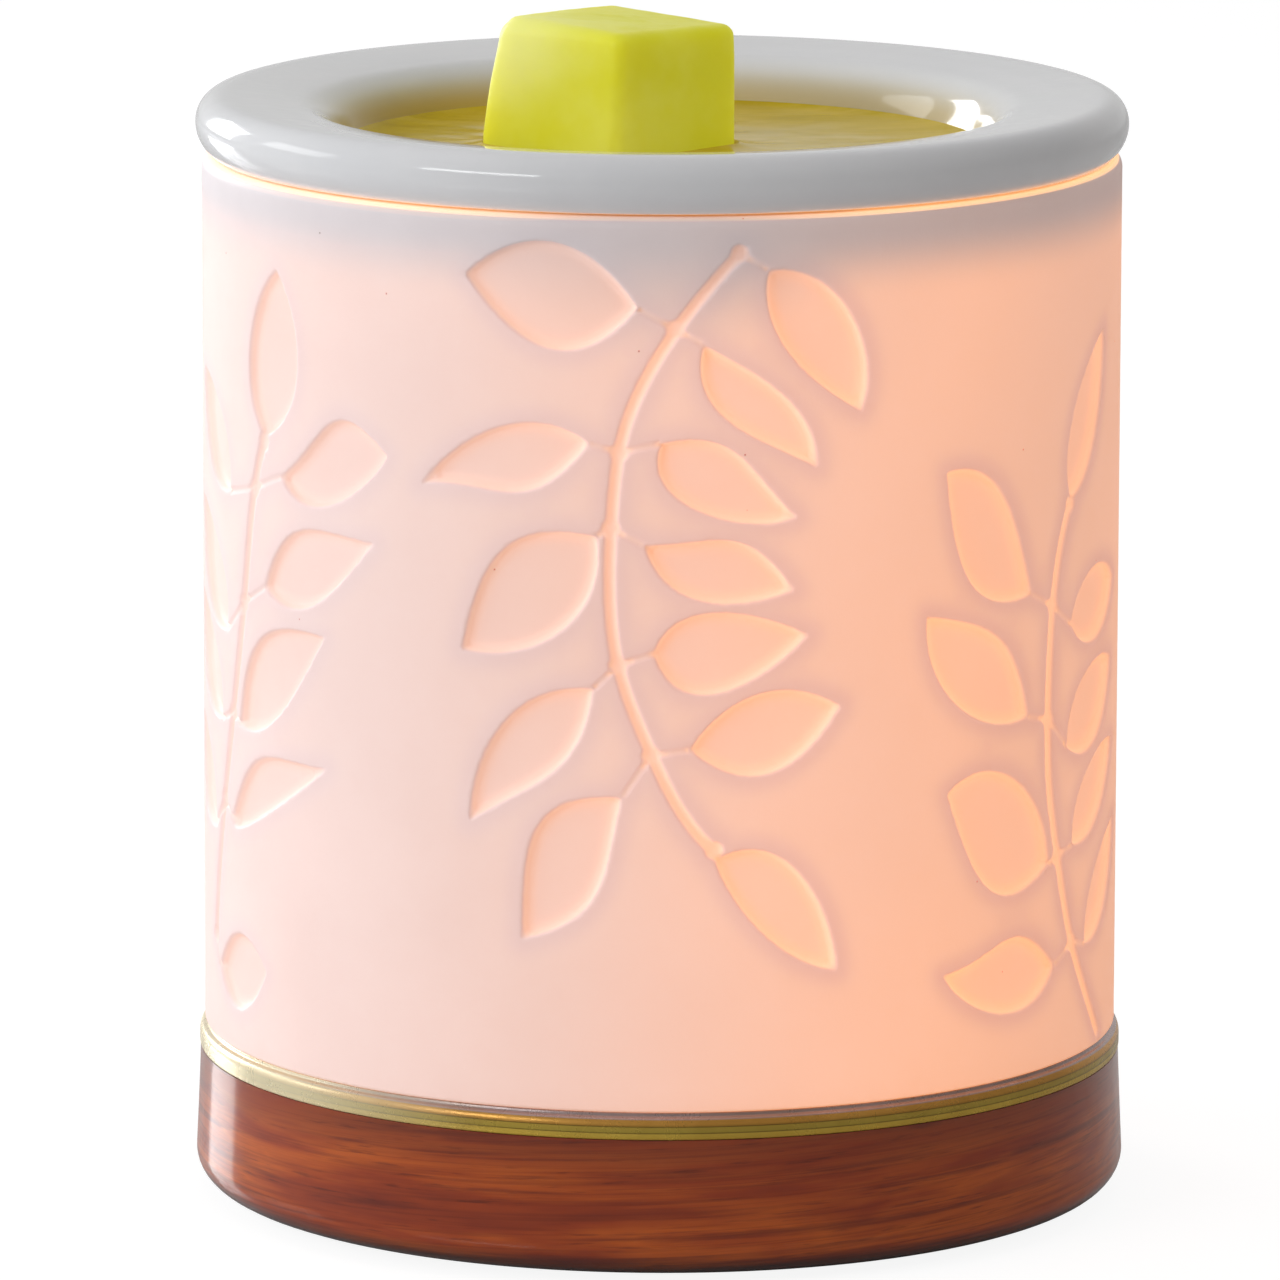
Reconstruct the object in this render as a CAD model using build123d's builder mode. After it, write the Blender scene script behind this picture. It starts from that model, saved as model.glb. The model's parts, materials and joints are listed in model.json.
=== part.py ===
from build123d import *
import os
from math import atan, cos, degrees, hypot, pi, radians, sin, sqrt, tan

# A wax melt warmer: a dish of wax on a porcelain shade, over a lamp that stands on a wood base.
# Millimetres, +Z up. The origin is on the table under the middle of the base, the front faces -Y.

# Heights of what shows, from the table up
wood_lift = 1.2
base_height = 18.5
ring_height = 3.5
shade_height = 118.1

# Clearances
seat_gap = 0.3
assembly_gap = 0.1
thread_gap = 0.15
overrun = 1.0

# Porcelain shade: the piece that the ring, the base and the dish are sized to
shade_radius = 61.6
shade_wall = 3.6
shade_mouth_round = 1.6
shade_mouth_inner_round = 1.0
shade_foot_round = 0.5
shade_sealant_gap = 0.6
relief_depth = 1.1

# Trim ring between wood and porcelain
ring_overhang = 0.7
ring_width = 12.8
ring_crown_inset = 0.4
ring_neck_inset = 1.3
ring_neck_height = 0.8
ring_rim_height = 3.0
ring_rim_width = 3.0

# Wood base
base_top_inset = 0.1
base_flare = 0.8
base_edge_round = 4.2
base_wall = 8.0
deck_thickness = 4.0
boss_radius = 4.5
boss_reach = 4.0

# Bottom cover and feet
cover_rebate = 2.2
cover_thickness = 1.6
foot_height = 2.0
foot_radius = 6.0
foot_circle_radius = 40.0
foot_stud_radius = 2.0
foot_barb_radius = 2.6
foot_barb_height = 1.1
foot_edge_round = 0.5
foot_count = 4

# Screws: cover, ring, bracket and lamp holder
cover_screw_radius = 1.5
cover_screw_length = 9.0
cover_screw_head_radius = 3.0
cover_screw_head_height = 1.2
cover_screw_count = 4
cover_screw_start_angle = 45.0
ring_screw_radius = 1.4
ring_screw_length = 6.2
ring_screw_head_radius = 2.7
ring_screw_head_height = 1.7
ring_screw_inset = 2.8
ring_screw_count = 3
ring_screw_start_angle = 30.0
bracket_screw_radius = 1.5
bracket_screw_length = 4.8
bracket_screw_head_radius = 3.0
bracket_screw_head_height = 1.9
holder_screw_radius = 1.2
holder_screw_length = 8.0
holder_screw_head_radius = 2.2
holder_screw_head_height = 1.1
drive_slot_width = 0.7
drive_slot_depth = 0.7
drive_slot_reach_share = 1.2
screw_tip_clearance = 0.6

# Carved sprigs: widths of the cut lines
stem_width = 1.7
petiole_width = 0.9
stem_node_radius = 1.3
stem_point_count = 16

# Dish
dish_gap = 0.8
lip_overhang = 0.9
lip_seat_inset = 0.9
lip_height = 7.7
lip_nose_height = 4.6
lip_top_inset = 2.9
lip_top_round_inset = 0.9
lip_top_round_drop = 1.2
lip_width = 15.3
lip_inner_drop = 1.5
bowl_edge_width = 2.8
bowl_edge_drop = 3.6
bowl_bulge_inset = 2.8
bowl_bulge_height = 5.4
bowl_floor_inset = 11.4
bowl_edge_share = 0.3
bowl_floor_drop = 14.9
bowl_wall = 4.0
dish_skirt_height = 5.0
dish_skirt_width = 3.6
dish_groove_roof = 1.0
dish_groove_width = 4.0
dish_bulge_wall = 3.2
dish_bulge_height = 4.6

# Wax
wax_level_drop = 7.0
cube_base_side = 26.0
cube_top_side = 23.2
cube_height = 23.4
cube_corner_round = 3.6
cube_top_round = 2.2
cube_base_round = 1.2
cube_offset_x = -7.2
cube_offset_y = 1.0
cube_turn_angle = 46.9
cube_lean_angle = 2.4
pocket_gap = 0.3

# Cord outlet at the back
outlet_height = 9.4
grommet_bore_radius = 3.3
grommet_radius = 4.3
grommet_flange_radius = 5.7
grommet_flange_thickness = 1.5
grommet_lip_radius = 5.2
grommet_lip_thickness = 1.2
grommet_edge_round = 0.5
outlet_recess_depth = 2.6

# Bracket that carries the lamp holder
bracket_height = 10.0
bracket_sheet = 1.2
bracket_width = 18.0
bracket_top_length = 34.0
bracket_foot_length = 10.0
bracket_bend_radius = 1.8

# Wire bush in the deck
bush_bore_radius = 3.8
bush_radius = 5.0
bush_flange_radius = 6.6
bush_flange_thickness = 1.0
bush_edge_round = 0.3

# Threaded tube, its nut and its lock washer
nipple_radius = 5.0
nipple_bore_radius = 3.5
nipple_tail = 5.8
nipple_edge_chamfer = 0.3
locknut_thickness = 3.0
locknut_across_flats = 14.0
washer_thickness = 0.8
washer_radius = 7.4

# Lamp holder
holder_cap_thickness = 2.0
holder_cap_hub_height = 4.0
holder_cap_hub_radius = 6.6
holder_radius = 13.0
holder_top_radius = 9.4
holder_shoulder_height = 6.0
holder_chamber_height = 10.0
holder_chamber_radius = 8.0
holder_floor = 3.0
holder_bore_depth = 22.0
holder_edge_round = 1.0
holder_screw_circle_radius = 10.6
shell_radius = 6.8
shell_relief_radius = 6.2
shell_top_gap = 0.5
shell_tab_thickness = 0.6
shell_tab_width = 4.0
shell_tab_inner = 3.0
rivet_radius = 0.9
rivet_head_radius = 1.3
rivet_head_height = 0.6
rivet_offset = 4.4
shell_thread_start = 3.6
shell_thread_turns = 7
shell_extra_turns = 2
contact_thickness = 0.4
contact_width = 3.6
contact_rise = 2.2
contact_outer = 5.7
contact_bend_start = 2.7
contact_bend_end = 1.3
contact_end = 1.6
terminal_thickness = 0.8
terminal_width = 3.6
terminal_inner = 0.8
terminal_outer = 6.2

# Lamp wires and their crimp connectors
wire_radius = 0.9
wire_offset = 1.9
wire_bend_radius = 6.0
wire_splay_radius = 24.0
crimp_offset = 6.0
crimp_radius = 2.3
crimp_length = 16.0
crimp_front = 31.0
crimp_grip = 6.5
wire_splay_start = 26.0
wire_splay_end = 11.0

# Lamp: candelabra screw cap, ten turns to the inch
thread_pitch = 2.54
thread_core_radius = 5.3
thread_crest_radius = 0.75
thread_line_radius = 5.2
thread_zone = 11.0
thread_lead_in = 1.1
thread_turns = 3.4
cap_skirt_radius = 5.9
cap_skirt_height = 3.0
cap_bore_radius = 4.9
lamp_tip_radius = 2.0
lamp_tip_height = 0.8
lamp_insulator_height = 3.0
lamp_insulator_radius = 3.0
lamp_length = 68.0
globe_radius = 22.5
globe_wall = 0.8
globe_join_angle = 50.0
neck_radius = 4.7
neck_depth = 6.0
neck_rise = 0.4
stem_base_radius = 3.6
stem_tip_radius = 1.6
stem_height = 20.0
support_radius = 0.35
support_spread = 7.5
support_root_offset = 0.8
support_rise = 14.0
filament_radius = 0.3
filament_sag = 2.5

# Carved sprigs, as shares of the shade's height: across from the sprig's own line, and up.
# A leaf is its root, its tip, and two handles for its left and two for its right side.
# A handle is a share of the leaf's length along it, then a share of the height out to its left.
hanging_sprig_shares = {
    "stem": [
        (0.089, 0.963), (0.039, 0.907), (-0.007, 0.840), (-0.040, 0.766), (-0.053, 0.680),
        (-0.056, 0.580), (-0.045, 0.497), (-0.012, 0.410), (0.023, 0.340), (0.066, 0.290),
    ],
    "nodes": [
        ((0.086, 0.960), [
            (0.118, 0.941, 0.227, 0.779,
             (0.183, 0.072, 0.794, 0.063), (0.264, -0.055, 0.709, -0.030)),
        ]),
        ((0.015, 0.877), [
            (-0.026, 0.900, -0.222, 0.931,
             (0.265, 0.087, 0.583, 0.079), (0.321, -0.074, 0.712, -0.076)),
            (0.046, 0.861, 0.175, 0.719,
             (0.309, 0.018, 0.706, 0.052), (0.258, -0.076, 0.673, -0.020)),
        ]),
        ((-0.046, 0.740), [
            (-0.079, 0.750, -0.278, 0.693,
             (0.479, 0.075, 0.556, 0.008), (0.251, -0.068, 0.713, -0.042)),
            (0.000, 0.751, 0.152, 0.666,
             (0.397, 0.062, 0.583, 0.016), (0.057, -0.080, 0.836, -0.042)),
        ]),
        ((-0.055, 0.656), [
            (-0.071, 0.647, -0.227, 0.512,
             (0.243, 0.082, 0.730, 0.067), (0.339, -0.087, 0.622, -0.058)),
            (-0.019, 0.638, 0.149, 0.584,
             (0.446, 0.025, 0.534, 0.064), (0.268, -0.068, 0.692, -0.040)),
        ]),
        ((-0.047, 0.503), [
            (-0.074, 0.477, -0.217, 0.320,
             (0.408, 0.060, 0.580, 0.022), (0.267, -0.072, 0.711, -0.053)),
            (-0.008, 0.517, 0.166, 0.534,
             (0.183, 0.070, 0.736, 0.031), (0.123, -0.096, 0.732, -0.040)),
        ]),
        ((-0.010, 0.403), [
            (-0.042, 0.356, -0.155, 0.191,
             (0.431, 0.033, 0.595, 0.069), (0.320, -0.102, 0.613, -0.049)),
            (0.032, 0.409, 0.204, 0.452,
             (0.309, 0.052, 0.700, 0.057), (0.301, -0.076, 0.661, -0.057)),
        ]),
        ((0.060, 0.296), [
            (0.060, 0.285, 0.201, 0.154,
             (0.147, 0.091, 0.750, 0.048), (0.280, -0.029, 0.732, -0.037)),
        ]),
    ],
}
rising_sprig_shares = {
    "stem": [
        (0.116, 0.010), (0.063, 0.076), (0.029, 0.130), (-0.007, 0.231), (-0.029, 0.323),
        (-0.033, 0.408), (-0.030, 0.479), (-0.012, 0.584), (0.015, 0.642),
    ],
    "nodes": [
        ((0.013, 0.638), [
            (0.015, 0.642, 0.111, 0.823,
             (0.200, 0.062, 0.750, 0.048), (0.200, -0.048, 0.750, -0.037)),
        ]),
        ((-0.025, 0.528), [
            (-0.067, 0.547, -0.207, 0.702,
             (0.295, 0.101, 0.640, 0.053), (0.308, -0.025, 0.754, -0.080)),
            (0.018, 0.500, 0.175, 0.530,
             (0.200, 0.063, 0.750, 0.050), (0.200, -0.063, 0.750, -0.050)),
        ]),
        ((-0.033, 0.400), [
            (-0.073, 0.409, -0.233, 0.543,
             (0.228, 0.065, 0.744, 0.076), (0.392, -0.062, 0.590, -0.048)),
            (0.010, 0.362, 0.162, 0.440,
             (0.200, 0.067, 0.750, 0.053), (0.200, -0.067, 0.750, -0.053)),
        ]),
        ((-0.010, 0.240), [
            (-0.030, 0.234, -0.203, 0.339,
             (0.288, 0.112, 0.614, 0.061), (0.204, -0.069, 0.847, -0.086)),
            (0.026, 0.247, 0.172, 0.345,
             (0.200, 0.063, 0.750, 0.050), (0.200, -0.045, 0.750, -0.035)),
        ]),
        ((0.026, 0.135), [
            (-0.015, 0.116, -0.208, 0.134,
             (0.188, 0.074, 0.774, 0.057), (0.488, -0.080, 0.564, -0.012)),
            (0.066, 0.125, 0.192, 0.250,
             (0.200, 0.053, 0.750, 0.042), (0.200, -0.048, 0.750, -0.037)),
        ]),
    ],
}
leaning_sprig_shares = {
    "stem": [
        (0.018, 0.716), (-0.011, 0.636), (-0.033, 0.523), (-0.056, 0.426), (-0.080, 0.340),
        (-0.112, 0.230), (-0.135, 0.120),
    ],
    "nodes": [
        ((0.016, 0.710), [
            (0.018, 0.716, 0.043, 0.908,
             (0.200, 0.069, 0.750, 0.054), (0.200, -0.080, 0.750, -0.063)),
        ]),
        ((-0.005, 0.655), [
            (0.051, 0.676, 0.224, 0.719,
             (0.474, 0.020, 0.630, 0.101), (0.188, -0.071, 0.758, -0.041)),
            (-0.075, 0.640, -0.198, 0.765,
             (0.200, 0.059, 0.750, 0.046), (0.200, -0.059, 0.750, -0.046)),
        ]),
        ((-0.034, 0.520), [
            (0.017, 0.545, 0.206, 0.620,
             (0.402, 0.079, 0.600, 0.035), (0.294, -0.077, 0.668, -0.029)),
            (-0.085, 0.480, -0.218, 0.615,
             (0.200, 0.062, 0.750, 0.048), (0.200, -0.062, 0.750, -0.048)),
        ]),
        ((-0.066, 0.390), [
            (-0.045, 0.378, 0.130, 0.505,
             (0.342, 0.082, 0.644, 0.068), (0.257, -0.063, 0.698, -0.021)),
            (-0.105, 0.375, -0.235, 0.505,
             (0.200, 0.059, 0.750, 0.046), (0.200, -0.059, 0.750, -0.046)),
        ]),
        ((-0.096, 0.285), [
            (-0.071, 0.266, 0.133, 0.357,
             (0.464, 0.077, 0.539, 0.038), (-0.042, -0.039, 0.953, -0.007)),
            (-0.135, 0.245, -0.250, 0.370,
             (0.200, 0.056, 0.750, 0.044), (0.200, -0.056, 0.750, -0.044)),
        ]),
        ((-0.135, 0.120), [
            (-0.118, 0.087, 0.018, 0.105,
             (0.332, 0.054, 0.716, 0.056), (0.275, -0.062, 0.654, -0.060)),
        ]),
    ],
}
carving_reach_share = 0.08

# Sprigs round the shade: degrees from the front, towards +X
sprigs_round_shade = [
    (0.0, hanging_sprig_shares),
    (60.0, rising_sprig_shares),
    (120.0, hanging_sprig_shares),
    (180.0, rising_sprig_shares),
    (-120.0, hanging_sprig_shares),
    (-60.0, leaning_sprig_shares),
]

# Radii that follow from the shade's
shade_inner_radius = shade_radius - shade_wall
ring_radius = shade_radius + ring_overhang
ring_inner_radius = ring_radius - ring_width
ring_rim_radius = shade_inner_radius - shade_sealant_gap
ring_screw_circle_radius = ring_inner_radius + ring_screw_inset
base_top_radius = ring_radius - base_top_inset
base_full_radius = base_top_radius + base_flare
base_cavity_radius = base_full_radius - base_wall
boss_circle_radius = base_cavity_radius - boss_reach
cover_radius = base_cavity_radius + cover_rebate
lip_radius = shade_radius + lip_overhang
lip_seat_radius = shade_radius - lip_seat_inset
lip_top_radius = lip_radius - lip_top_inset
lip_top_round_radius = lip_radius - lip_top_round_inset
lip_inner_radius = lip_radius - lip_width
bowl_edge_radius = lip_inner_radius - bowl_edge_width
bowl_bulge_radius = bowl_edge_radius - bowl_bulge_inset
bowl_floor_radius = bowl_edge_radius - bowl_floor_inset
dish_skirt_radius = shade_inner_radius - dish_gap
dish_skirt_inner_radius = dish_skirt_radius - dish_skirt_width
dish_groove_radius = bowl_edge_radius + dish_groove_width
dish_bulge_radius = bowl_bulge_radius + dish_bulge_wall

# Levels that follow from the heights
deck_top = wood_lift + base_height
deck_under = deck_top - deck_thickness
ledge_level = foot_height + cover_thickness
shade_foot = deck_top + ring_height
shade_mouth = shade_foot + shade_height
lip_level = shade_mouth + seat_gap
lip_top = lip_level + lip_height
bowl_floor = lip_top - bowl_floor_drop
wax_level = lip_top - wax_level_drop
bracket_top = deck_top + bracket_height
holder_foot = bracket_top + holder_cap_thickness
holder_floor_under = holder_foot + holder_chamber_height
holder_floor_top = holder_floor_under + holder_floor
holder_top = holder_floor_top + holder_bore_depth
lamp_foot = holder_floor_top + contact_rise + seat_gap
cap_foot = lamp_foot + lamp_tip_height + lamp_insulator_height
cap_skirt_foot = cap_foot + thread_zone
cap_top = cap_skirt_foot + cap_skirt_height
lamp_top = lamp_foot + lamp_length
globe_level = lamp_top - globe_radius
terminal_under = holder_floor_under - terminal_thickness

os.makedirs("parts", exist_ok=True)


def finish_piece(piece, label):
    """Labels a finished piece and writes it to its own file."""
    piece.part.label = label
    export_step(piece.part, f"parts/{label}.step")


def bolt_places(circle_radius, level, count, start_angle, direction):
    """Planes on a bolt circle whose normals point the way the shanks go."""
    step = 2 * pi / count
    places = []
    for number in range(count):
        turn = radians(start_angle) + number * step
        centre = (circle_radius * cos(turn), circle_radius * sin(turn), level)
        places.append(Plane(origin=centre, x_dir=(1, 0, 0), z_dir=(0, 0, direction)))
    return places


def cut_cross_slots(head_radius, top_of_head):
    """Cuts a cross drive into screw heads whose outer face is at top_of_head."""
    for turn in (0, 90):
        with Locations(Location((0, 0, top_of_head), (0, 0, turn))):
            Box(drive_slot_reach_share * head_radius, drive_slot_width, drive_slot_depth,
                align=(Align.CENTER, Align.CENTER, Align.MIN), mode=Mode.SUBTRACT)


# Screws: one solid each, a whole set in one piece

def pan_screws(places, radius, length, head_radius, head_height):
    """Round-headed screws, with the heads' undersides on the planes given."""
    with BuildPart() as screw:
        Cylinder(radius, length, align=(Align.CENTER, Align.CENTER, Align.MIN))
        Cylinder(head_radius, head_height, align=(Align.CENTER, Align.CENTER, Align.MAX))
        fillet(screw.edges().sort_by(Axis.Z)[0], drive_slot_width)
        cut_cross_slots(head_radius, -head_height)
    with BuildPart() as screw_set:
        with Locations(*places):
            add(screw.part)
    return screw_set


def flush_screws(places, radius, length, head_radius, head_height):
    """Countersunk screws, with the heads' outer faces on the planes given."""
    with BuildPart() as screw:
        Cylinder(radius, length, align=(Align.CENTER, Align.CENTER, Align.MIN))
        Cone(head_radius, radius, head_height, align=(Align.CENTER, Align.CENTER, Align.MIN))
        cut_cross_slots(head_radius, 0)
    with BuildPart() as screw_set:
        with Locations(*places):
            add(screw.part)
    return screw_set


cover_screw_places = bolt_places(
    boss_circle_radius, foot_height, cover_screw_count, cover_screw_start_angle, 1)
ring_screw_places = bolt_places(
    ring_screw_circle_radius, deck_under, ring_screw_count, ring_screw_start_angle, 1)
bracket_screw_offset = (bracket_top_length + bracket_foot_length) / 2
bracket_screw_places = bolt_places(bracket_screw_offset, deck_top + bracket_sheet, 2, 0, -1)
holder_screw_places = bolt_places(holder_screw_circle_radius, bracket_top, 2, 90, 1)
bracket_hole_radius = bracket_screw_radius + assembly_gap
outlet_hole_radius = grommet_radius + assembly_gap
outlet_recess_floor = base_full_radius - outlet_recess_depth

# Wood base: turned, hollow from below, with bosses for the cover screws
with BuildPart() as wood_base:
    with BuildSketch(Plane.XZ) as wood_outline:
        Polygon(
            (0, wood_lift), (base_full_radius, wood_lift), (base_top_radius, deck_top), (0, deck_top),
            align=None)
        fillet(wood_outline.vertices().sort_by(Axis.X)[-1], base_edge_round)
    revolve(axis=Axis.Z)
    with BuildSketch(Plane.XY.offset(deck_under)):
        Circle(base_cavity_radius)
        with PolarLocations(boss_circle_radius, cover_screw_count, cover_screw_start_angle):
            Circle(boss_radius, mode=Mode.SUBTRACT)
        with PolarLocations(boss_circle_radius + boss_radius, cover_screw_count,
                            cover_screw_start_angle):
            Rectangle(2 * boss_radius, 2 * boss_radius, mode=Mode.SUBTRACT)
    extrude(amount=-base_height, mode=Mode.SUBTRACT)
    with BuildSketch(Plane.XY.offset(ledge_level)):
        Circle(cover_radius + seat_gap)
    extrude(amount=-base_height, mode=Mode.SUBTRACT)
    with Locations(*cover_screw_places):
        Cylinder(cover_screw_radius + assembly_gap, cover_screw_length + screw_tip_clearance,
                 align=(Align.CENTER, Align.CENTER, Align.MIN), mode=Mode.SUBTRACT)
    with Locations(*ring_screw_places):
        Cylinder(ring_screw_radius + assembly_gap, ring_screw_length,
                 align=(Align.CENTER, Align.CENTER, Align.MIN), mode=Mode.SUBTRACT)
    with Locations(*bracket_screw_places):
        Cylinder(bracket_screw_radius + assembly_gap, bracket_sheet + deck_thickness + overrun,
                 align=(Align.CENTER, Align.CENTER, Align.MIN), mode=Mode.SUBTRACT)
    with Locations((0, 0, deck_under)):
        Cylinder(bush_radius + assembly_gap, 2 * deck_thickness, mode=Mode.SUBTRACT)
    with BuildSketch(Plane(origin=(0, 0, outlet_height), z_dir=(0, 1, 0))):
        Circle(outlet_hole_radius)
    extrude(amount=base_full_radius + overrun, mode=Mode.SUBTRACT)
    with BuildSketch(Plane(origin=(0, outlet_recess_floor, outlet_height), z_dir=(0, 1, 0))):
        Circle(grommet_flange_radius + assembly_gap)
    extrude(amount=outlet_recess_depth + overrun, mode=Mode.SUBTRACT)
finish_piece(wood_base, "wood_base")

# Bottom cover: a thin plate in the wood's rebate
with BuildPart() as bottom_cover:
    with BuildSketch(Plane.XY.offset(foot_height)):
        Circle(cover_radius)
        with PolarLocations(foot_circle_radius, foot_count):
            Circle(foot_stud_radius + assembly_gap, mode=Mode.SUBTRACT)
    extrude(amount=cover_thickness)
    with Locations(*cover_screw_places):
        Cone(cover_screw_head_radius + assembly_gap, cover_screw_radius + assembly_gap,
             cover_screw_head_height, align=(Align.CENTER, Align.CENTER, Align.MIN),
             mode=Mode.SUBTRACT)
        Cylinder(cover_screw_radius + assembly_gap, cover_thickness,
                 align=(Align.CENTER, Align.CENTER, Align.MIN), mode=Mode.SUBTRACT)
finish_piece(bottom_cover, "bottom_cover")

cover_screws = flush_screws(cover_screw_places, cover_screw_radius, cover_screw_length,
                            cover_screw_head_radius, cover_screw_head_height)
finish_piece(cover_screws, "cover_screws")

# Rubber feet, pushed into the cover by a barbed stud
for number in range(foot_count):
    foot_turn = 2 * pi * number / foot_count
    foot_place = Plane(origin=(
        foot_circle_radius * cos(foot_turn), foot_circle_radius * sin(foot_turn), 0))
    with BuildPart(foot_place) as rubber_foot:
        Cylinder(foot_radius, foot_height, align=(Align.CENTER, Align.CENTER, Align.MIN))
        fillet(rubber_foot.edges().filter_by(GeomType.CIRCLE), foot_edge_round)
        with Locations((0, 0, foot_height)):
            Cylinder(foot_stud_radius, cover_thickness,
                     align=(Align.CENTER, Align.CENTER, Align.MIN))
        with Locations((0, 0, ledge_level)):
            Cone(foot_barb_radius, foot_stud_radius, foot_barb_height,
                 align=(Align.CENTER, Align.CENTER, Align.MIN))
    finish_piece(rubber_foot, f"rubber_foot_{number + 1}")

# Trim ring: a flat metal ring with a rim that centres the porcelain
with BuildPart() as trim_ring:
    with BuildSketch(Plane.XZ) as ring_outline:
        Polygon(
            (ring_inner_radius, deck_top),
            (ring_radius, deck_top),
            (ring_radius, deck_top + ring_height / 2),
            (ring_radius - ring_crown_inset, shade_foot - ring_neck_height),
            (ring_radius - ring_neck_inset, shade_foot - ring_neck_height),
            (ring_radius - ring_neck_inset, shade_foot),
            (ring_rim_radius, shade_foot),
            (ring_rim_radius, shade_foot + ring_rim_height),
            (ring_rim_radius - ring_rim_width, shade_foot + ring_rim_height),
            (ring_rim_radius - ring_rim_width, shade_foot),
            (ring_inner_radius, shade_foot),
            align=None)
    revolve(axis=Axis.Z)
    with Locations(*ring_screw_places):
        Cylinder(ring_screw_radius + assembly_gap, ring_screw_length + screw_tip_clearance,
                 align=(Align.CENTER, Align.CENTER, Align.MIN), mode=Mode.SUBTRACT)
finish_piece(trim_ring, "trim_ring")

ring_screws = pan_screws(ring_screw_places, ring_screw_radius, ring_screw_length,
                         ring_screw_head_radius, ring_screw_head_height)
finish_piece(ring_screws, "ring_screws")


# Porcelain shade: an open cylinder with leaf sprigs carved into its outside

def on_shade(across_share, up_share):
    """Distance round the shade and height above its foot, from shares of its height."""
    return across_share * shade_height, up_share * shade_height


def shade_plane(angle, up):
    """A plane that touches the shade, angle degrees from the front, up above its foot."""
    turn = radians(angle)
    outward = (sin(turn), -cos(turn), 0)
    return Plane(
        origin=(shade_radius * outward[0], shade_radius * outward[1], shade_foot + up),
        x_dir=(cos(turn), sin(turn), 0), z_dir=outward)


def on_tangent(across_share, up_share):
    """A point of the shade as it lies on the plane that touches the shade at the sprig."""
    across, up = on_shade(across_share, up_share)
    return shade_radius * sin(across / shade_radius), up


def stem_edges(points):
    """Points along the two edges of a stem that follows the points given."""
    middle_line = Edge.make_spline([Vector(*point) for point in points])
    left_edge, right_edge = [], []
    for number in range(stem_point_count):
        place = number / (stem_point_count - 1)
        centre, along = middle_line @ place, middle_line % place
        across = Vector(-along.Y, along.X) * (stem_width / 2)
        left_edge.append(centre + across)
        right_edge.append(centre - across)
    return left_edge, right_edge


def leaf_sides(leaf, middle):
    """Control points of a leaf's left and right side, across from middle and up."""
    root_across, root_up = on_shade(leaf[0], leaf[1])
    tip_across, tip_up = on_shade(leaf[2], leaf[3])
    run, rise = tip_across - root_across, tip_up - root_up
    length = hypot(run, rise)
    sides = []
    for handle_shares in (leaf[4], leaf[5]):
        points = [(root_across - middle, root_up)]
        for along_share, out_share in (handle_shares[:2], handle_shares[2:]):
            reach = out_share * shade_height
            points.append((root_across - middle + along_share * run - rise / length * reach,
                           root_up + along_share * rise + run / length * reach))
        points.append((tip_across - middle, tip_up))
        sides.append(points)
    return sides


carving_reach = relief_depth + carving_reach_share * shade_radius

with BuildPart() as relief_band:
    with BuildSketch(Plane.XY.offset(shade_foot)):
        Circle(shade_radius + overrun)
        Circle(shade_radius - relief_depth, mode=Mode.SUBTRACT)
    extrude(amount=shade_height)

with BuildPart() as carving:
    for sprig_angle, sprig in sprigs_round_shade:
        left_edge, right_edge = stem_edges([on_tangent(*share) for share in sprig["stem"]])
        with BuildSketch(shade_plane(sprig_angle, 0)):
            with BuildLine():
                Spline(*left_edge)
                Line(left_edge[-1], right_edge[-1])
                Spline(*reversed(right_edge))
                Line(right_edge[0], left_edge[0])
            make_face()
            for node_share, leaves in sprig["nodes"]:
                node = on_tangent(*node_share)
                with Locations(node):
                    Circle(stem_node_radius)
                for leaf in leaves:
                    root = on_tangent(leaf[0], leaf[1])
                    if hypot(root[0] - node[0], root[1] - node[1]) > stem_node_radius:
                        with BuildLine():
                            Line(node, root)
                        trace(line_width=petiole_width)
    extrude(amount=carving_reach, both=True)
    for sprig_angle, sprig in sprigs_round_shade:
        for leaf in [leaf for node_share, leaves in sprig["nodes"] for leaf in leaves]:
            middle = on_shade((leaf[0] + leaf[2]) / 2, 0)[0]
            left_side, right_side = leaf_sides(leaf, middle)
            with BuildSketch(shade_plane(sprig_angle + degrees(middle / shade_radius), 0)):
                with BuildLine():
                    Bezier(*left_side)
                    Bezier(*right_side)
                make_face()
    extrude(amount=carving_reach, both=True)
    add(relief_band.part, mode=Mode.INTERSECT)

with BuildPart() as shade:
    with BuildSketch(Plane.XZ) as shade_wall_outline:
        Polygon(
            (shade_inner_radius, shade_foot), (shade_radius, shade_foot),
            (shade_radius, shade_mouth), (shade_inner_radius, shade_mouth), align=None)
        top_corners = shade_wall_outline.vertices().group_by(Axis.Y)[-1].sort_by(Axis.X)
        fillet(top_corners[1], shade_mouth_round)
        fillet(top_corners[0], shade_mouth_inner_round)
        foot_corners = shade_wall_outline.vertices().group_by(Axis.Y)[0].sort_by(Axis.X)
        fillet(foot_corners[1], shade_foot_round)
    revolve(axis=Axis.Z)
    add(carving.part, mode=Mode.SUBTRACT)
finish_piece(shade, "shade")

# Silicone that holds the porcelain to the ring's rim
with BuildPart() as shade_sealant:
    with BuildSketch(Plane.XY.offset(shade_foot)):
        Circle(shade_inner_radius - assembly_gap)
        Circle(ring_rim_radius + assembly_gap, mode=Mode.SUBTRACT)
    extrude(amount=ring_rim_height)
finish_piece(shade_sealant, "shade_sealant")

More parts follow.
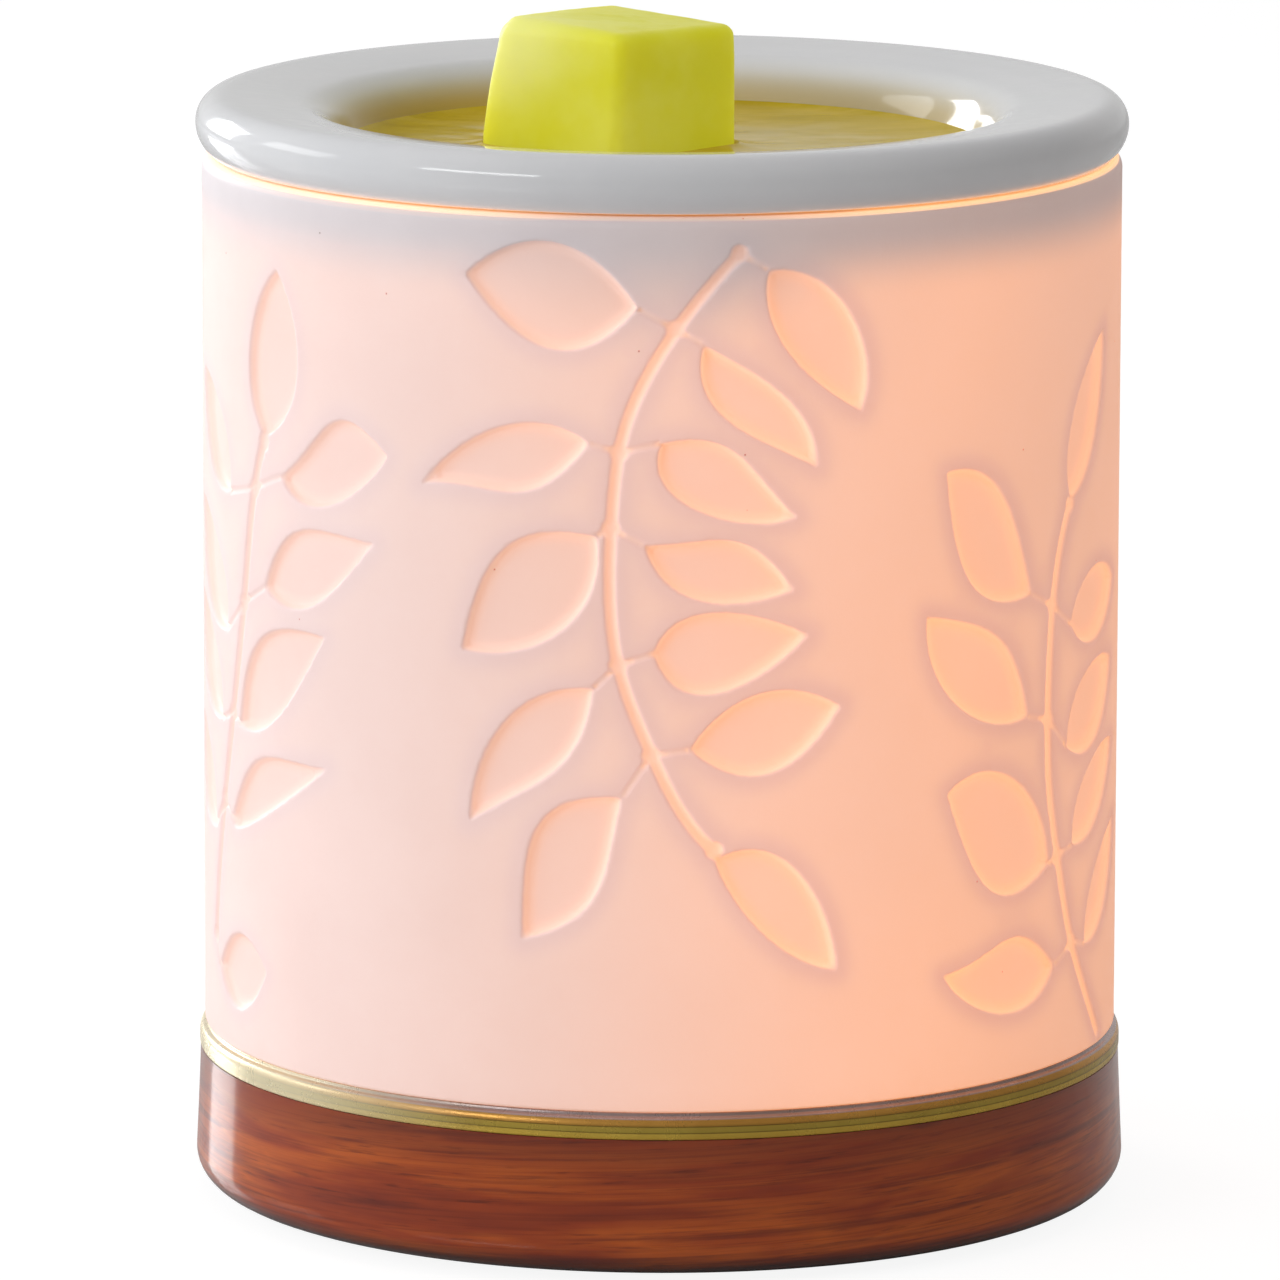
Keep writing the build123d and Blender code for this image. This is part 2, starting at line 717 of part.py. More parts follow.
# Dish: a broad lip, a bowl, and a skirt underneath that centres it in the shade's mouth
with BuildPart() as wax_dish:
    with BuildSketch(Plane.XZ):
        with BuildLine():
            Line((0, bowl_floor - bowl_wall), (0, bowl_floor))
            Line((0, bowl_floor), (bowl_floor_radius, bowl_floor))
            ThreePointArc(
                (bowl_floor_radius, bowl_floor),
                (bowl_bulge_radius, bowl_floor + bowl_bulge_height),
                (bowl_edge_radius, lip_top - bowl_edge_drop))
            ThreePointArc(
                (bowl_edge_radius, lip_top - bowl_edge_drop),
                (bowl_edge_radius + bowl_edge_share * (lip_inner_radius - bowl_edge_radius),
                 lip_top - lip_inner_drop - bowl_edge_share * (bowl_edge_drop - lip_inner_drop)),
                (lip_inner_radius, lip_top - lip_inner_drop))
            Line((lip_inner_radius, lip_top - lip_inner_drop), (lip_top_radius, lip_top))
            ThreePointArc(
                (lip_top_radius, lip_top),
                (lip_top_round_radius, lip_top - lip_top_round_drop),
                (lip_radius, lip_level + lip_nose_height))
            ThreePointArc(
                (lip_radius, lip_level + lip_nose_height),
                ((lip_radius + lip_top_round_radius) / 2, lip_level + lip_nose_height / 3),
                (lip_seat_radius, lip_level))
            Polyline(
                (lip_seat_radius, lip_level),
                (dish_skirt_radius, lip_level),
                (dish_skirt_radius, lip_level - dish_skirt_height),
                (dish_skirt_inner_radius, lip_level - dish_skirt_height),
                (dish_skirt_inner_radius, lip_level + dish_groove_roof),
                (dish_groove_radius, lip_level + dish_groove_roof))
            ThreePointArc(
                (dish_groove_radius, lip_level + dish_groove_roof),
                (dish_bulge_radius, bowl_floor - bowl_wall + dish_bulge_height),
                (bowl_floor_radius, bowl_floor - bowl_wall))
            Line((bowl_floor_radius, bowl_floor - bowl_wall), (0, bowl_floor - bowl_wall))
        make_face()
    revolve(axis=Axis.Z)
finish_piece(wax_dish, "wax_dish")

# Melted wax: fills the bowl to its level, with a straight pocket round the cube
cube_axis = (sin(radians(cube_lean_angle)), 0, cos(radians(cube_lean_angle)))
cube_foot = bowl_floor + seat_gap + cube_base_side / sqrt(2) * sin(radians(cube_lean_angle))
cube_turn = radians(cube_turn_angle)
cube_plane = Plane(
    origin=(cube_offset_x, cube_offset_y, cube_foot),
    x_dir=(cos(cube_turn), sin(cube_turn), -cos(cube_turn) * tan(radians(cube_lean_angle))),
    z_dir=cube_axis)
with BuildPart() as melted_wax:
    with BuildSketch(Plane.XZ):
        with BuildLine():
            Polyline(
                (bowl_edge_radius - assembly_gap, lip_top - bowl_edge_drop),
                (0, lip_top - bowl_edge_drop),
                (0, bowl_floor + assembly_gap),
                (bowl_floor_radius, bowl_floor + assembly_gap))
            ThreePointArc(
                (bowl_floor_radius, bowl_floor + assembly_gap),
                (bowl_bulge_radius - assembly_gap, bowl_floor + bowl_bulge_height),
                (bowl_edge_radius - assembly_gap, lip_top - bowl_edge_drop))
        make_face()
        with Locations((0, wax_level)):
            Rectangle(bowl_edge_radius, lip_height, align=(Align.MIN, Align.MIN), mode=Mode.SUBTRACT)
    revolve(axis=Axis.Z)
    with BuildSketch(cube_plane):
        RectangleRounded(cube_base_side + 2 * pocket_gap, cube_base_side + 2 * pocket_gap,
                         cube_corner_round)
    extrude(amount=cube_height, both=True, mode=Mode.SUBTRACT)
finish_piece(melted_wax, "melted_wax")

# Wax cube: drawn in towards its top so that it left its mould, and rounded by melting
with BuildPart() as wax_cube:
    with BuildSketch(cube_plane):
        RectangleRounded(cube_base_side, cube_base_side, cube_corner_round)
    extrude(amount=cube_height,
            taper=degrees(atan((cube_base_side - cube_top_side) / 2 / cube_height)))
    cube_ends = wax_cube.faces().filter_by(cube_plane).sort_by(Axis.Z)
    fillet(cube_ends[-1].edges(), cube_top_round)
    cube_ends = wax_cube.faces().filter_by(cube_plane).sort_by(Axis.Z)
    fillet(cube_ends[0].edges(), cube_base_round)
finish_piece(wax_cube, "wax_cube")

# Cord grommet: rubber bush in the base's back wall
grommet_seat = sqrt(base_cavity_radius ** 2 - grommet_lip_radius ** 2) - assembly_gap
with BuildPart() as cord_grommet:
    with BuildSketch(Plane(origin=(0, grommet_seat, outlet_height), z_dir=(0, 1, 0))):
        Circle(grommet_radius)
    extrude(amount=outlet_recess_floor - grommet_seat)
    with BuildSketch(Plane(origin=(0, outlet_recess_floor, outlet_height), z_dir=(0, 1, 0))):
        Circle(grommet_flange_radius)
    extrude(amount=grommet_flange_thickness)
    with BuildSketch(Plane(origin=(0, grommet_seat, outlet_height), z_dir=(0, -1, 0))):
        Circle(grommet_lip_radius)
    extrude(amount=grommet_lip_thickness)
    fillet(cord_grommet.edges().filter_by(GeomType.CIRCLE).sort_by(Axis.Y)[-1], grommet_edge_round)
    with Locations(Location((0, grommet_seat, outlet_height), (90, 0, 0))):
        Cylinder(grommet_bore_radius, base_full_radius, mode=Mode.SUBTRACT)
finish_piece(cord_grommet, "cord_grommet")

# Bracket: one bent strip of steel that lifts the lamp holder off the deck
leg_x = bracket_top_length / 2
foot_x = leg_x + bracket_foot_length
with BuildPart() as holder_bracket:
    with BuildSketch(Plane(origin=(0, 0, deck_top), x_dir=(1, 0, 0), z_dir=(0, -1, 0))) as strip:
        Polygon(
            (-foot_x, 0), (-foot_x, bracket_sheet), (-leg_x, bracket_sheet),
            (-leg_x, bracket_height), (leg_x, bracket_height), (leg_x, bracket_sheet),
            (foot_x, bracket_sheet), (foot_x, 0), (leg_x - bracket_sheet, 0),
            (leg_x - bracket_sheet, bracket_height - bracket_sheet),
            (bracket_sheet - leg_x, bracket_height - bracket_sheet),
            (bracket_sheet - leg_x, 0), align=None)
        fillet(strip.vertices().group_by(Axis.Y)[-2], bracket_bend_radius - bracket_sheet)
        fillet(strip.vertices().group_by(Axis.Y)[-1], bracket_bend_radius)
    extrude(amount=bracket_width / 2, both=True)
    with Locations((0, 0, bracket_top)):
        Cylinder(nipple_radius + assembly_gap, bracket_height, mode=Mode.SUBTRACT)
    with Locations(*bracket_screw_places):
        Cylinder(bracket_hole_radius, 4 * bracket_sheet, mode=Mode.SUBTRACT)
finish_piece(holder_bracket, "holder_bracket")

bracket_screws = pan_screws(bracket_screw_places, bracket_screw_radius, bracket_screw_length,
                            bracket_screw_head_radius, bracket_screw_head_height)
finish_piece(bracket_screws, "bracket_screws")

# Bush that guards the lamp wires where they pass the deck
with BuildPart() as deck_bush:
    with BuildSketch(Plane.XY.offset(deck_under)):
        Circle(bush_radius)
        Circle(bush_bore_radius, mode=Mode.SUBTRACT)
    extrude(amount=deck_thickness)
    with BuildSketch(Plane.XY.offset(deck_top)):
        Circle(bush_flange_radius)
        Circle(bush_bore_radius, mode=Mode.SUBTRACT)
    extrude(amount=bush_flange_thickness)
    fillet(deck_bush.edges().filter_by(GeomType.CIRCLE).sort_by(Axis.Z)[-2:], bush_edge_round)
finish_piece(deck_bush, "deck_bush")

# Threaded tube that holds the lamp holder's cap to the bracket, with washer and nut
hub_top = holder_foot + holder_cap_hub_height
with BuildPart() as holder_nipple:
    with BuildSketch(Plane.XY.offset(bracket_top - nipple_tail)):
        Circle(nipple_radius)
        Circle(nipple_bore_radius, mode=Mode.SUBTRACT)
    extrude(amount=nipple_tail + hub_top - bracket_top)
    chamfer(holder_nipple.edges().filter_by(GeomType.CIRCLE).sort_by(Axis.Z)[0:2],
            nipple_edge_chamfer)
finish_piece(holder_nipple, "holder_nipple")

washer_foot = bracket_top - bracket_sheet - washer_thickness
with BuildPart() as lock_washer:
    with BuildSketch(Plane.XY.offset(washer_foot)):
        Circle(washer_radius)
        Circle(nipple_radius + assembly_gap, mode=Mode.SUBTRACT)
    extrude(amount=washer_thickness)
finish_piece(lock_washer, "lock_washer")

with BuildPart() as nipple_locknut:
    with BuildSketch(Plane.XY.offset(washer_foot - locknut_thickness)):
        RegularPolygon(locknut_across_flats / 2, 6, major_radius=False)
        Circle(nipple_radius + assembly_gap, mode=Mode.SUBTRACT)
    extrude(amount=locknut_thickness)
finish_piece(nipple_locknut, "nipple_locknut")

# Lamp holder: brass cap, porcelain body, screw shell, contacts and terminals
with BuildPart() as holder_cap:
    with BuildSketch(Plane.XY.offset(bracket_top)):
        Circle(holder_radius)
    extrude(amount=holder_cap_thickness)
    with BuildSketch(Plane.XY.offset(holder_foot)):
        Circle(holder_cap_hub_radius)
    extrude(amount=holder_cap_hub_height)
    with Locations((0, 0, bracket_top)):
        Cylinder(nipple_radius + assembly_gap, 4 * holder_cap_hub_height, mode=Mode.SUBTRACT)
    with Locations(*holder_screw_places):
        Cone(holder_screw_head_radius + assembly_gap, holder_screw_radius + assembly_gap,
             holder_screw_head_height, align=(Align.CENTER, Align.CENTER, Align.MIN),
             mode=Mode.SUBTRACT)
        Cylinder(holder_screw_radius + assembly_gap, holder_cap_thickness,
                 align=(Align.CENTER, Align.CENTER, Align.MIN), mode=Mode.SUBTRACT)
finish_piece(holder_cap, "holder_cap")

with BuildPart() as holder_body:
    with BuildSketch(Plane.XZ):
        Polygon(
            (holder_chamber_radius, holder_foot),
            (holder_radius, holder_foot),
            (holder_radius, holder_floor_top),
            (holder_top_radius, holder_floor_top + holder_shoulder_height),
            (holder_top_radius, holder_top),
            (shell_radius + assembly_gap, holder_top),
            (shell_radius + assembly_gap, holder_floor_top),
            (0, holder_floor_top),
            (0, holder_floor_under),
            (holder_chamber_radius, holder_floor_under),
            align=None)
    revolve(axis=Axis.Z)
    fillet(holder_body.edges().filter_by(GeomType.CIRCLE).group_by(Axis.Z)[-1].sort_by(
        SortBy.RADIUS)[-1], holder_edge_round)
    with Locations(*holder_screw_places):
        Cylinder(holder_screw_radius + assembly_gap, holder_screw_length + screw_tip_clearance,
                 align=(Align.CENTER, Align.CENTER, Align.MIN), mode=Mode.SUBTRACT)
    with Locations((rivet_offset, 0, holder_floor_top), (-rivet_offset, 0, holder_floor_top)):
        Cylinder(rivet_radius + assembly_gap, 4 * holder_floor, mode=Mode.SUBTRACT)
finish_piece(holder_body, "holder_body")

holder_screws = flush_screws(holder_screw_places, holder_screw_radius, holder_screw_length,
                             holder_screw_head_radius, holder_screw_head_height)
finish_piece(holder_screws, "holder_screws")


def thread_helix(start_level, turns):
    """The line that the middle of the thread's crest follows."""
    return Helix(thread_pitch, turns * thread_pitch, thread_line_radius,
                 center=(0, 0, start_level), mode=Mode.PRIVATE)


thread_start = cap_foot + thread_lead_in
shell_minor_radius = thread_core_radius + thread_gap
shell_top = holder_top - shell_top_gap
shell_thread_top = cap_skirt_foot - seat_gap
with BuildPart() as screw_shell:
    with BuildSketch(Plane.XY.offset(holder_floor_top)):
        Circle(shell_radius)
        Circle(shell_minor_radius, mode=Mode.SUBTRACT)
    extrude(amount=shell_top - holder_floor_top)
    shell_path = thread_helix(thread_start - shell_extra_turns * thread_pitch, shell_thread_turns)
    with BuildSketch(Plane(origin=shell_path @ 0, z_dir=shell_path % 0)):
        Circle(thread_crest_radius + thread_gap)
    sweep(path=shell_path, is_frenet=True, mode=Mode.SUBTRACT)
    with Locations((0, 0, holder_floor_top)):
        Cylinder(shell_relief_radius, shell_thread_start,
                 align=(Align.CENTER, Align.CENTER, Align.MIN), mode=Mode.SUBTRACT)
    with Locations((0, 0, shell_top)):
        Cylinder(shell_relief_radius, shell_top - shell_thread_top,
                 align=(Align.CENTER, Align.CENTER, Align.MAX), mode=Mode.SUBTRACT)
    with BuildSketch(Plane.XY.offset(holder_floor_top)):
        with Locations((shell_tab_inner, 0)):
            Rectangle(shell_relief_radius + assembly_gap - shell_tab_inner, shell_tab_width,
                      align=(Align.MIN, Align.CENTER))
    extrude(amount=shell_tab_thickness)
    with Locations((rivet_offset, 0, holder_floor_top)):
        Cylinder(rivet_radius + assembly_gap, 4 * shell_tab_thickness, mode=Mode.SUBTRACT)
finish_piece(screw_shell, "screw_shell")

with BuildPart() as centre_contact:
    with BuildSketch(Plane(origin=(0, 0, holder_floor_top), x_dir=(1, 0, 0), z_dir=(0, -1, 0))):
        Polygon(
            (-contact_outer, 0),
            (-contact_bend_start, 0),
            (-contact_bend_end, contact_rise - contact_thickness),
            (contact_end, contact_rise - contact_thickness),
            (contact_end, contact_rise),
            (-contact_bend_end - contact_thickness / 2, contact_rise),
            (-contact_bend_start - contact_thickness / 2, contact_thickness),
            (-contact_outer, contact_thickness),
            align=None)
    extrude(amount=contact_width / 2, both=True)
    with Locations((-rivet_offset, 0, holder_floor_top)):
        Cylinder(rivet_radius + assembly_gap, 4 * contact_thickness, mode=Mode.SUBTRACT)
finish_piece(centre_contact, "centre_contact")


def rivet(side, seat_level):
    """A rivet through the holder's floor: head on seat_level, tail under the terminal."""
    with BuildPart() as one_rivet:
        with Locations((side * rivet_offset, 0, seat_level)):
            Cylinder(rivet_head_radius, rivet_head_height,
                     align=(Align.CENTER, Align.CENTER, Align.MIN))
            Cylinder(rivet_radius, seat_level - terminal_under,
                     align=(Align.CENTER, Align.CENTER, Align.MAX))
        with Locations((side * rivet_offset, 0, terminal_under)):
            Cylinder(rivet_head_radius, rivet_head_height,
                     align=(Align.CENTER, Align.CENTER, Align.MAX))
        head_rims = one_rivet.edges().filter_by(GeomType.CIRCLE).sort_by(Axis.Z)
        chamfer([head_rims[0], head_rims[-1]], rivet_head_height / 3)
    return one_rivet


def terminal(side):
    """A terminal strip under the holder's floor, on one side of the middle."""
    with BuildPart() as strip_piece:
        with BuildSketch(Plane.XY.offset(terminal_under)):
            with Locations((side * (terminal_inner + terminal_outer) / 2, 0)):
                Rectangle(terminal_outer - terminal_inner, terminal_width)
            with Locations((side * rivet_offset, 0)):
                Circle(rivet_radius + assembly_gap, mode=Mode.SUBTRACT)
        extrude(amount=terminal_thickness)
    return strip_piece


def lamp_wire(side):
    """One lamp wire: from its crimp connector, under the deck, up the tube to its terminal."""
    with BuildPart() as wire_piece:
        with BuildLine():
            wire_path = FilletPolyline(
                (side * crimp_offset, crimp_front + crimp_grip, outlet_height),
                (side * crimp_offset, wire_splay_start, outlet_height),
                (side * wire_offset, wire_splay_end, outlet_height),
                (side * wire_offset, 0, outlet_height),
                (side * wire_offset, 0, terminal_under),
                radius=(wire_splay_radius, wire_splay_radius, wire_bend_radius))
        with BuildSketch(Plane(origin=wire_path @ 0, z_dir=wire_path % 0)):
            Circle(wire_radius)
        sweep(path=wire_path)
    return wire_piece


def crimp_connector(side):
    """A crimp barrel: the lamp wire goes in at its front, the cord's wire at its back."""
    with BuildPart() as barrel:
        with BuildSketch(Plane(origin=(side * crimp_offset, crimp_front, outlet_height),
                               z_dir=(0, 1, 0))):
            Circle(crimp_radius)
            Circle(wire_radius + assembly_gap, mode=Mode.SUBTRACT)
        extrude(amount=crimp_length)
    return barrel


finish_piece(rivet(1, holder_floor_top + shell_tab_thickness), "shell_rivet")
finish_piece(rivet(-1, holder_floor_top + contact_thickness), "contact_rivet")
finish_piece(terminal(1), "shell_terminal")
finish_piece(terminal(-1), "contact_terminal")
finish_piece(lamp_wire(1), "shell_wire")
finish_piece(lamp_wire(-1), "contact_wire")
finish_piece(crimp_connector(1), "shell_crimp")
finish_piece(crimp_connector(-1), "contact_crimp")

# Lamp: solder tip, glass insulator, screw cap, globe, glass stem, support wires, filament
with BuildPart() as lamp_tip:
    with Locations((0, 0, lamp_foot)):
        Cylinder(lamp_tip_radius, lamp_tip_height, align=(Align.CENTER, Align.CENTER, Align.MIN))
    fillet(lamp_tip.edges().filter_by(GeomType.CIRCLE).sort_by(Axis.Z)[0], lamp_tip_height / 2)
finish_piece(lamp_tip, "lamp_tip")

with BuildPart() as lamp_insulator:
    with Locations((0, 0, lamp_foot + lamp_tip_height)):
        Cone(lamp_insulator_radius, cap_bore_radius, lamp_insulator_height,
             align=(Align.CENTER, Align.CENTER, Align.MIN))
finish_piece(lamp_insulator, "lamp_insulator")

with BuildPart() as lamp_cap:
    with BuildSketch(Plane.XZ):
        Polygon(
            (cap_bore_radius, cap_foot),
            (thread_core_radius, cap_foot),
            (thread_core_radius, cap_skirt_foot),
            (cap_skirt_radius, cap_skirt_foot),
            (cap_skirt_radius, cap_top),
            (cap_bore_radius, cap_top),
            align=None)
    revolve(axis=Axis.Z)
    cap_path = thread_helix(thread_start, thread_turns)
    with BuildSketch(Plane(origin=cap_path @ 0, z_dir=cap_path % 0)):
        Circle(thread_crest_radius)
    sweep(path=cap_path, is_frenet=True)
    with Locations((0, 0, cap_foot)):
        Cylinder(cap_bore_radius, cap_top - cap_foot,
                 align=(Align.CENTER, Align.CENTER, Align.MIN), mode=Mode.SUBTRACT)
finish_piece(lamp_cap, "lamp_cap")

join_angle = radians(globe_join_angle)
neck_foot = cap_top - neck_depth


def globe_solid(inset):
    """The lamp's globe and neck as a filled shape, drawn in by inset all over."""
    radius = globe_radius - inset
    neck = neck_radius - inset
    join = (radius * cos(join_angle), globe_level - radius * sin(join_angle))
    with BuildPart() as filled:
        with BuildSketch(Plane.XZ):
            with BuildLine():
                Line((0, neck_foot), (neck, neck_foot))
                Line((neck, neck_foot), (neck, cap_top + neck_rise))
                Spline((neck, cap_top + neck_rise), join,
                       tangents=((0, 1), (sin(join_angle), cos(join_angle))))
                ThreePointArc(join, (radius, globe_level), (0, globe_level + radius))
                Line((0, globe_level + radius), (0, neck_foot))
            make_face()
        revolve(axis=Axis.Z)
    return filled


with BuildPart() as lamp_globe:
    add(globe_solid(0).part)
    add(globe_solid(globe_wall).part, mode=Mode.SUBTRACT)
finish_piece(lamp_globe, "lamp_globe")

stem_top = neck_foot + stem_height
with BuildPart() as lamp_stem:
    with Locations((0, 0, neck_foot)):
        Cone(stem_base_radius, stem_tip_radius, stem_height,
             align=(Align.CENTER, Align.CENTER, Align.MIN))
finish_piece(lamp_stem, "lamp_stem")

with BuildPart() as filament_supports:
    for side in (-1, 1):
        with BuildLine():
            support_line = Line(
                (side * support_root_offset, 0, stem_top + support_radius),
                (side * support_spread, 0, stem_top + support_rise))
        with BuildSketch(Plane(origin=support_line @ 0, z_dir=support_line % 0)):
            Circle(support_radius)
        sweep(path=support_line)
finish_piece(filament_supports, "filament_supports")

filament_level = stem_top + support_rise
with BuildPart() as lamp_filament:
    with BuildLine():
        filament_line = ThreePointArc(
            (-support_spread, 0, filament_level + support_radius + filament_radius),
            (0, 0, filament_level + support_radius + filament_radius + filament_sag),
            (support_spread, 0, filament_level + support_radius + filament_radius))
    with BuildSketch(Plane(origin=filament_line @ 0, z_dir=filament_line % 0)):
        Circle(filament_radius)
    sweep(path=filament_line)
finish_piece(lamp_filament, "lamp_filament")
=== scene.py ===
# %% [markdown]
# # A wax melt warmer, lit from inside
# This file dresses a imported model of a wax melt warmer: a glazed dish of melting wax on a carved
# porcelain shade, a lamp inside, a flat metal ring and a turned wood base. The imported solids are
# the frame. They say where each piece is and how large, and nothing here moves them. What this
# file adds is the finish: soft carved edges, glaze, wax, lacquered grain and the glow.

# %% Load the frame
import json
import math

import bmesh
import bpy
import numpy as np
from mathutils import Matrix, Vector, geometry, kdtree, noise
from mathutils.bvhtree import BVHTree


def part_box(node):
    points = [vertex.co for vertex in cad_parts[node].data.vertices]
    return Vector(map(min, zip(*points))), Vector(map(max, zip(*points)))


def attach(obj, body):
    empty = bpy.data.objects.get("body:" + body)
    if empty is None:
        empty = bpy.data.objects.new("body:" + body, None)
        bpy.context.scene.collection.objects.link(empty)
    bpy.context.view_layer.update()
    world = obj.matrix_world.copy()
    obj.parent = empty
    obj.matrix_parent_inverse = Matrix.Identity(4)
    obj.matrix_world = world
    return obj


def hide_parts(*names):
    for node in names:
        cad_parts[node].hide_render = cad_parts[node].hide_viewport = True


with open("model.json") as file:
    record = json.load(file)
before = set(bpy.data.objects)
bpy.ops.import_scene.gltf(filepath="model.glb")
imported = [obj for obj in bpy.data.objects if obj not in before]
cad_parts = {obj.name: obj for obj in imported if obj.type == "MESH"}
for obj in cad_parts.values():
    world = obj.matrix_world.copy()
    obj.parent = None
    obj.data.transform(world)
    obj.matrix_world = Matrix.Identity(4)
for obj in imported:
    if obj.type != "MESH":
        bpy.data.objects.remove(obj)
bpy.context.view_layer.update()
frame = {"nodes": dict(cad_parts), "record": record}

# %% [markdown]
# ## Small helpers
# A maker thinks of this object in millimetres, and Blender in metres, so sizes are written in
# millimetres and multiplied once, where a mesh is made. Colours are written as they are seen on a
# screen, from 0 to 255, and turned into the linear values that Blender's shaders work in.

# %% Units and colours
MM = 0.001


def seen(red, green, blue):
    """A colour as it is seen on a screen, from 0 to 255, as a shader's linear colour."""
    shares = [value / 255 for value in (red, green, blue)]
    linear = [s / 12.92 if s <= 0.04045 else ((s + 0.055) / 1.055) ** 2.4 for s in shares]
    return (*linear, 1.0)


def smoothstep(value):
    """0 below 0, 1 above 1, and a soft step between them, for numbers or arrays."""
    value = np.clip(value, 0.0, 1.0)
    return value * value * (3.0 - 2.0 * value)


# %% Meshes
MERGE_GAP = 0.002 * MM


def reach_mm(node):
    """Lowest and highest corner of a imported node, in millimetres."""
    low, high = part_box(node)
    return Vector(low) / MM, Vector(high) / MM


def new_object(name, points_mm, faces):
    """A smooth mesh object from points in millimetres and faces, its normals turned outwards."""
    mesh = bpy.data.meshes.new(name)
    mesh.from_pydata([Vector(point) * MM for point in points_mm], [], faces)
    built = bmesh.new()
    built.from_mesh(mesh)
    bmesh.ops.remove_doubles(built, verts=built.verts, dist=MERGE_GAP)
    bmesh.ops.recalc_face_normals(built, faces=built.faces)
    built.to_mesh(mesh)
    built.free()
    mesh.polygons.foreach_set("use_smooth", [True] * len(mesh.polygons))
    made = bpy.data.objects.new(name, mesh)
    bpy.context.scene.collection.objects.link(made)
    print(name, len(mesh.polygons), "faces")
    return made


def place_mm(made):
    """The points of an object's mesh in millimetres, as an array."""
    flat = np.empty(3 * len(made.data.vertices))
    made.data.vertices.foreach_get("co", flat)
    return flat.reshape(-1, 3) / MM


def paint_values(made, name, values):
    """Stores one number for each point of a mesh, for its material to read."""
    layer = made.data.attributes.new(name, "FLOAT", "POINT")
    layer.data.foreach_set("value", np.asarray(values, dtype=np.float32))


# %% [markdown]
# ## Turned pieces
# The dish, the ring and the base are all round, so each is an outline turned about the lamp's
# axis. The outline is drawn as a few corners joined by straight runs and arcs. A glaze or a
# lacquer never leaves a sharp corner, so the outline is then divided evenly and relaxed, which
# rounds each corner by about as much as the liquid would have.

# %% Outlines
def arc_through(start, middle, end, steps=14):
    """Points on the arc through three points of an outline, without its start."""
    (ax, ay), (bx, by), (cx, cy) = start, middle, end
    twice_area = 2 * (ax * (by - cy) + bx * (cy - ay) + cx * (ay - by))
    a2, b2, c2 = ax * ax + ay * ay, bx * bx + by * by, cx * cx + cy * cy
    ux = (a2 * (by - cy) + b2 * (cy - ay) + c2 * (ay - by)) / twice_area
    uy = (a2 * (cx - bx) + b2 * (ax - cx) + c2 * (bx - ax)) / twice_area
    radius = math.hypot(ax - ux, ay - uy)
    first = math.atan2(ay - uy, ax - ux)
    through = (math.atan2(by - uy, bx - ux) - first) % (2 * math.pi)
    last = (math.atan2(cy - uy, cx - ux) - first) % (2 * math.pi)
    if through > last:
        last -= 2 * math.pi
    turns = [first + last * k / steps for k in range(1, steps + 1)]
    return [(ux + radius * math.cos(turn), uy + radius * math.sin(turn)) for turn in turns]


def divide_evenly(outline, spacing, closed=False):
    """The same outline with points about spacing apart, its corners kept only roughly."""
    points = [Vector(point) for point in outline]
    if closed:
        points.append(points[0])
    lengths = np.cumsum([0.0] + [(b - a).length for a, b in zip(points, points[1:])])
    count = max(2, round(lengths[-1] / spacing))
    wanted = np.linspace(0.0, lengths[-1], count + 1)
    axes = [np.interp(wanted, lengths, [point[k] for point in points]) for k in (0, 1)]
    even = list(zip(*axes))
    return even[:-1] if closed else even


def relax(outline, rounds, closed=False):
    """Draws each point of an outline towards the middle of its neighbours, ends kept."""
    points = np.array(outline)
    for number in range(rounds):
        middles = (np.roll(points, 1, axis=0) + np.roll(points, -1, axis=0)) / 2
        if not closed:
            middles[0], middles[-1] = points[0], points[-1]
        points = (points + middles) / 2
    return [tuple(point) for point in points]


# %% The lathe
TURN_STEPS = 288


def turned(name, outline):
    """Turns a closed outline of (radius, height) about the upright axis into a mesh."""
    points, faces = [], []
    for turn in range(TURN_STEPS):
        angle = 2 * math.pi * turn / TURN_STEPS
        points += [(r * math.cos(angle), r * math.sin(angle), z) for r, z in outline]
    size = len(outline)
    for turn in range(TURN_STEPS):
        here, there = turn * size, (turn + 1) % TURN_STEPS * size
        for k in range(size):
            after = (k + 1) % size
            corners = [here + k, there + k, there + after, here + after]
            if outline[k][0] == 0:
                corners.remove(there + k)
            if outline[after][0] == 0:
                corners.remove(there + after)
            if len(corners) > 2:
                faces.append(corners)
    return new_object(name, points, faces)


# %% [markdown]
# ## Shader parts
# A few effects turn up on many surfaces here: a slow mottle of colour, a fine grain that breaks
# up a highlight, and smears on a polished one. Each is a node group that is built once and then
# placed with other numbers. The shader itself, with its gloss and its clear coat, stays in each
# material, where another program can read it.

# %% Building node trees
def plug(entry, value):
    """Feeds one input: a socket is linked to it, and anything else becomes its value."""
    if isinstance(value, bpy.types.NodeSocket):
        entry.id_data.links.new(value, entry)
    else:
        entry.default_value = value


def feed(node, *terms, **values):
    """Feeds a node's inputs, by their order or by name, and hands the node back."""
    for number, value in enumerate(terms):
        plug(node.inputs[number], value)
    for name, value in values.items():
        plug(node.inputs[name.replace("_", " ")], value)
    return node


def add_node(tree, kind, *terms, settings=None, **values):
    """Adds a shader node, sets its properties, and feeds its inputs."""
    made = tree.nodes.new("ShaderNode" + kind)
    for name, value in (settings or {}).items():
        setattr(made, name, value)
    return feed(made, *terms, **values)


# %% Maths, mixes and ranges
def tree_with(*terms):
    """The node tree that the sockets among some terms belong to."""
    return next(term.id_data for term in terms if isinstance(term, bpy.types.NodeSocket))


def math_node(operation, *terms):
    """A maths node whose terms are numbers or sockets, and its output."""
    return add_node(tree_with(*terms), "Math", *terms, settings={"operation": operation}).outputs[0]


def product(first, *others):
    """Numbers or sockets multiplied together."""
    for other in others:
        first = math_node("MULTIPLY", first, other)
    return first


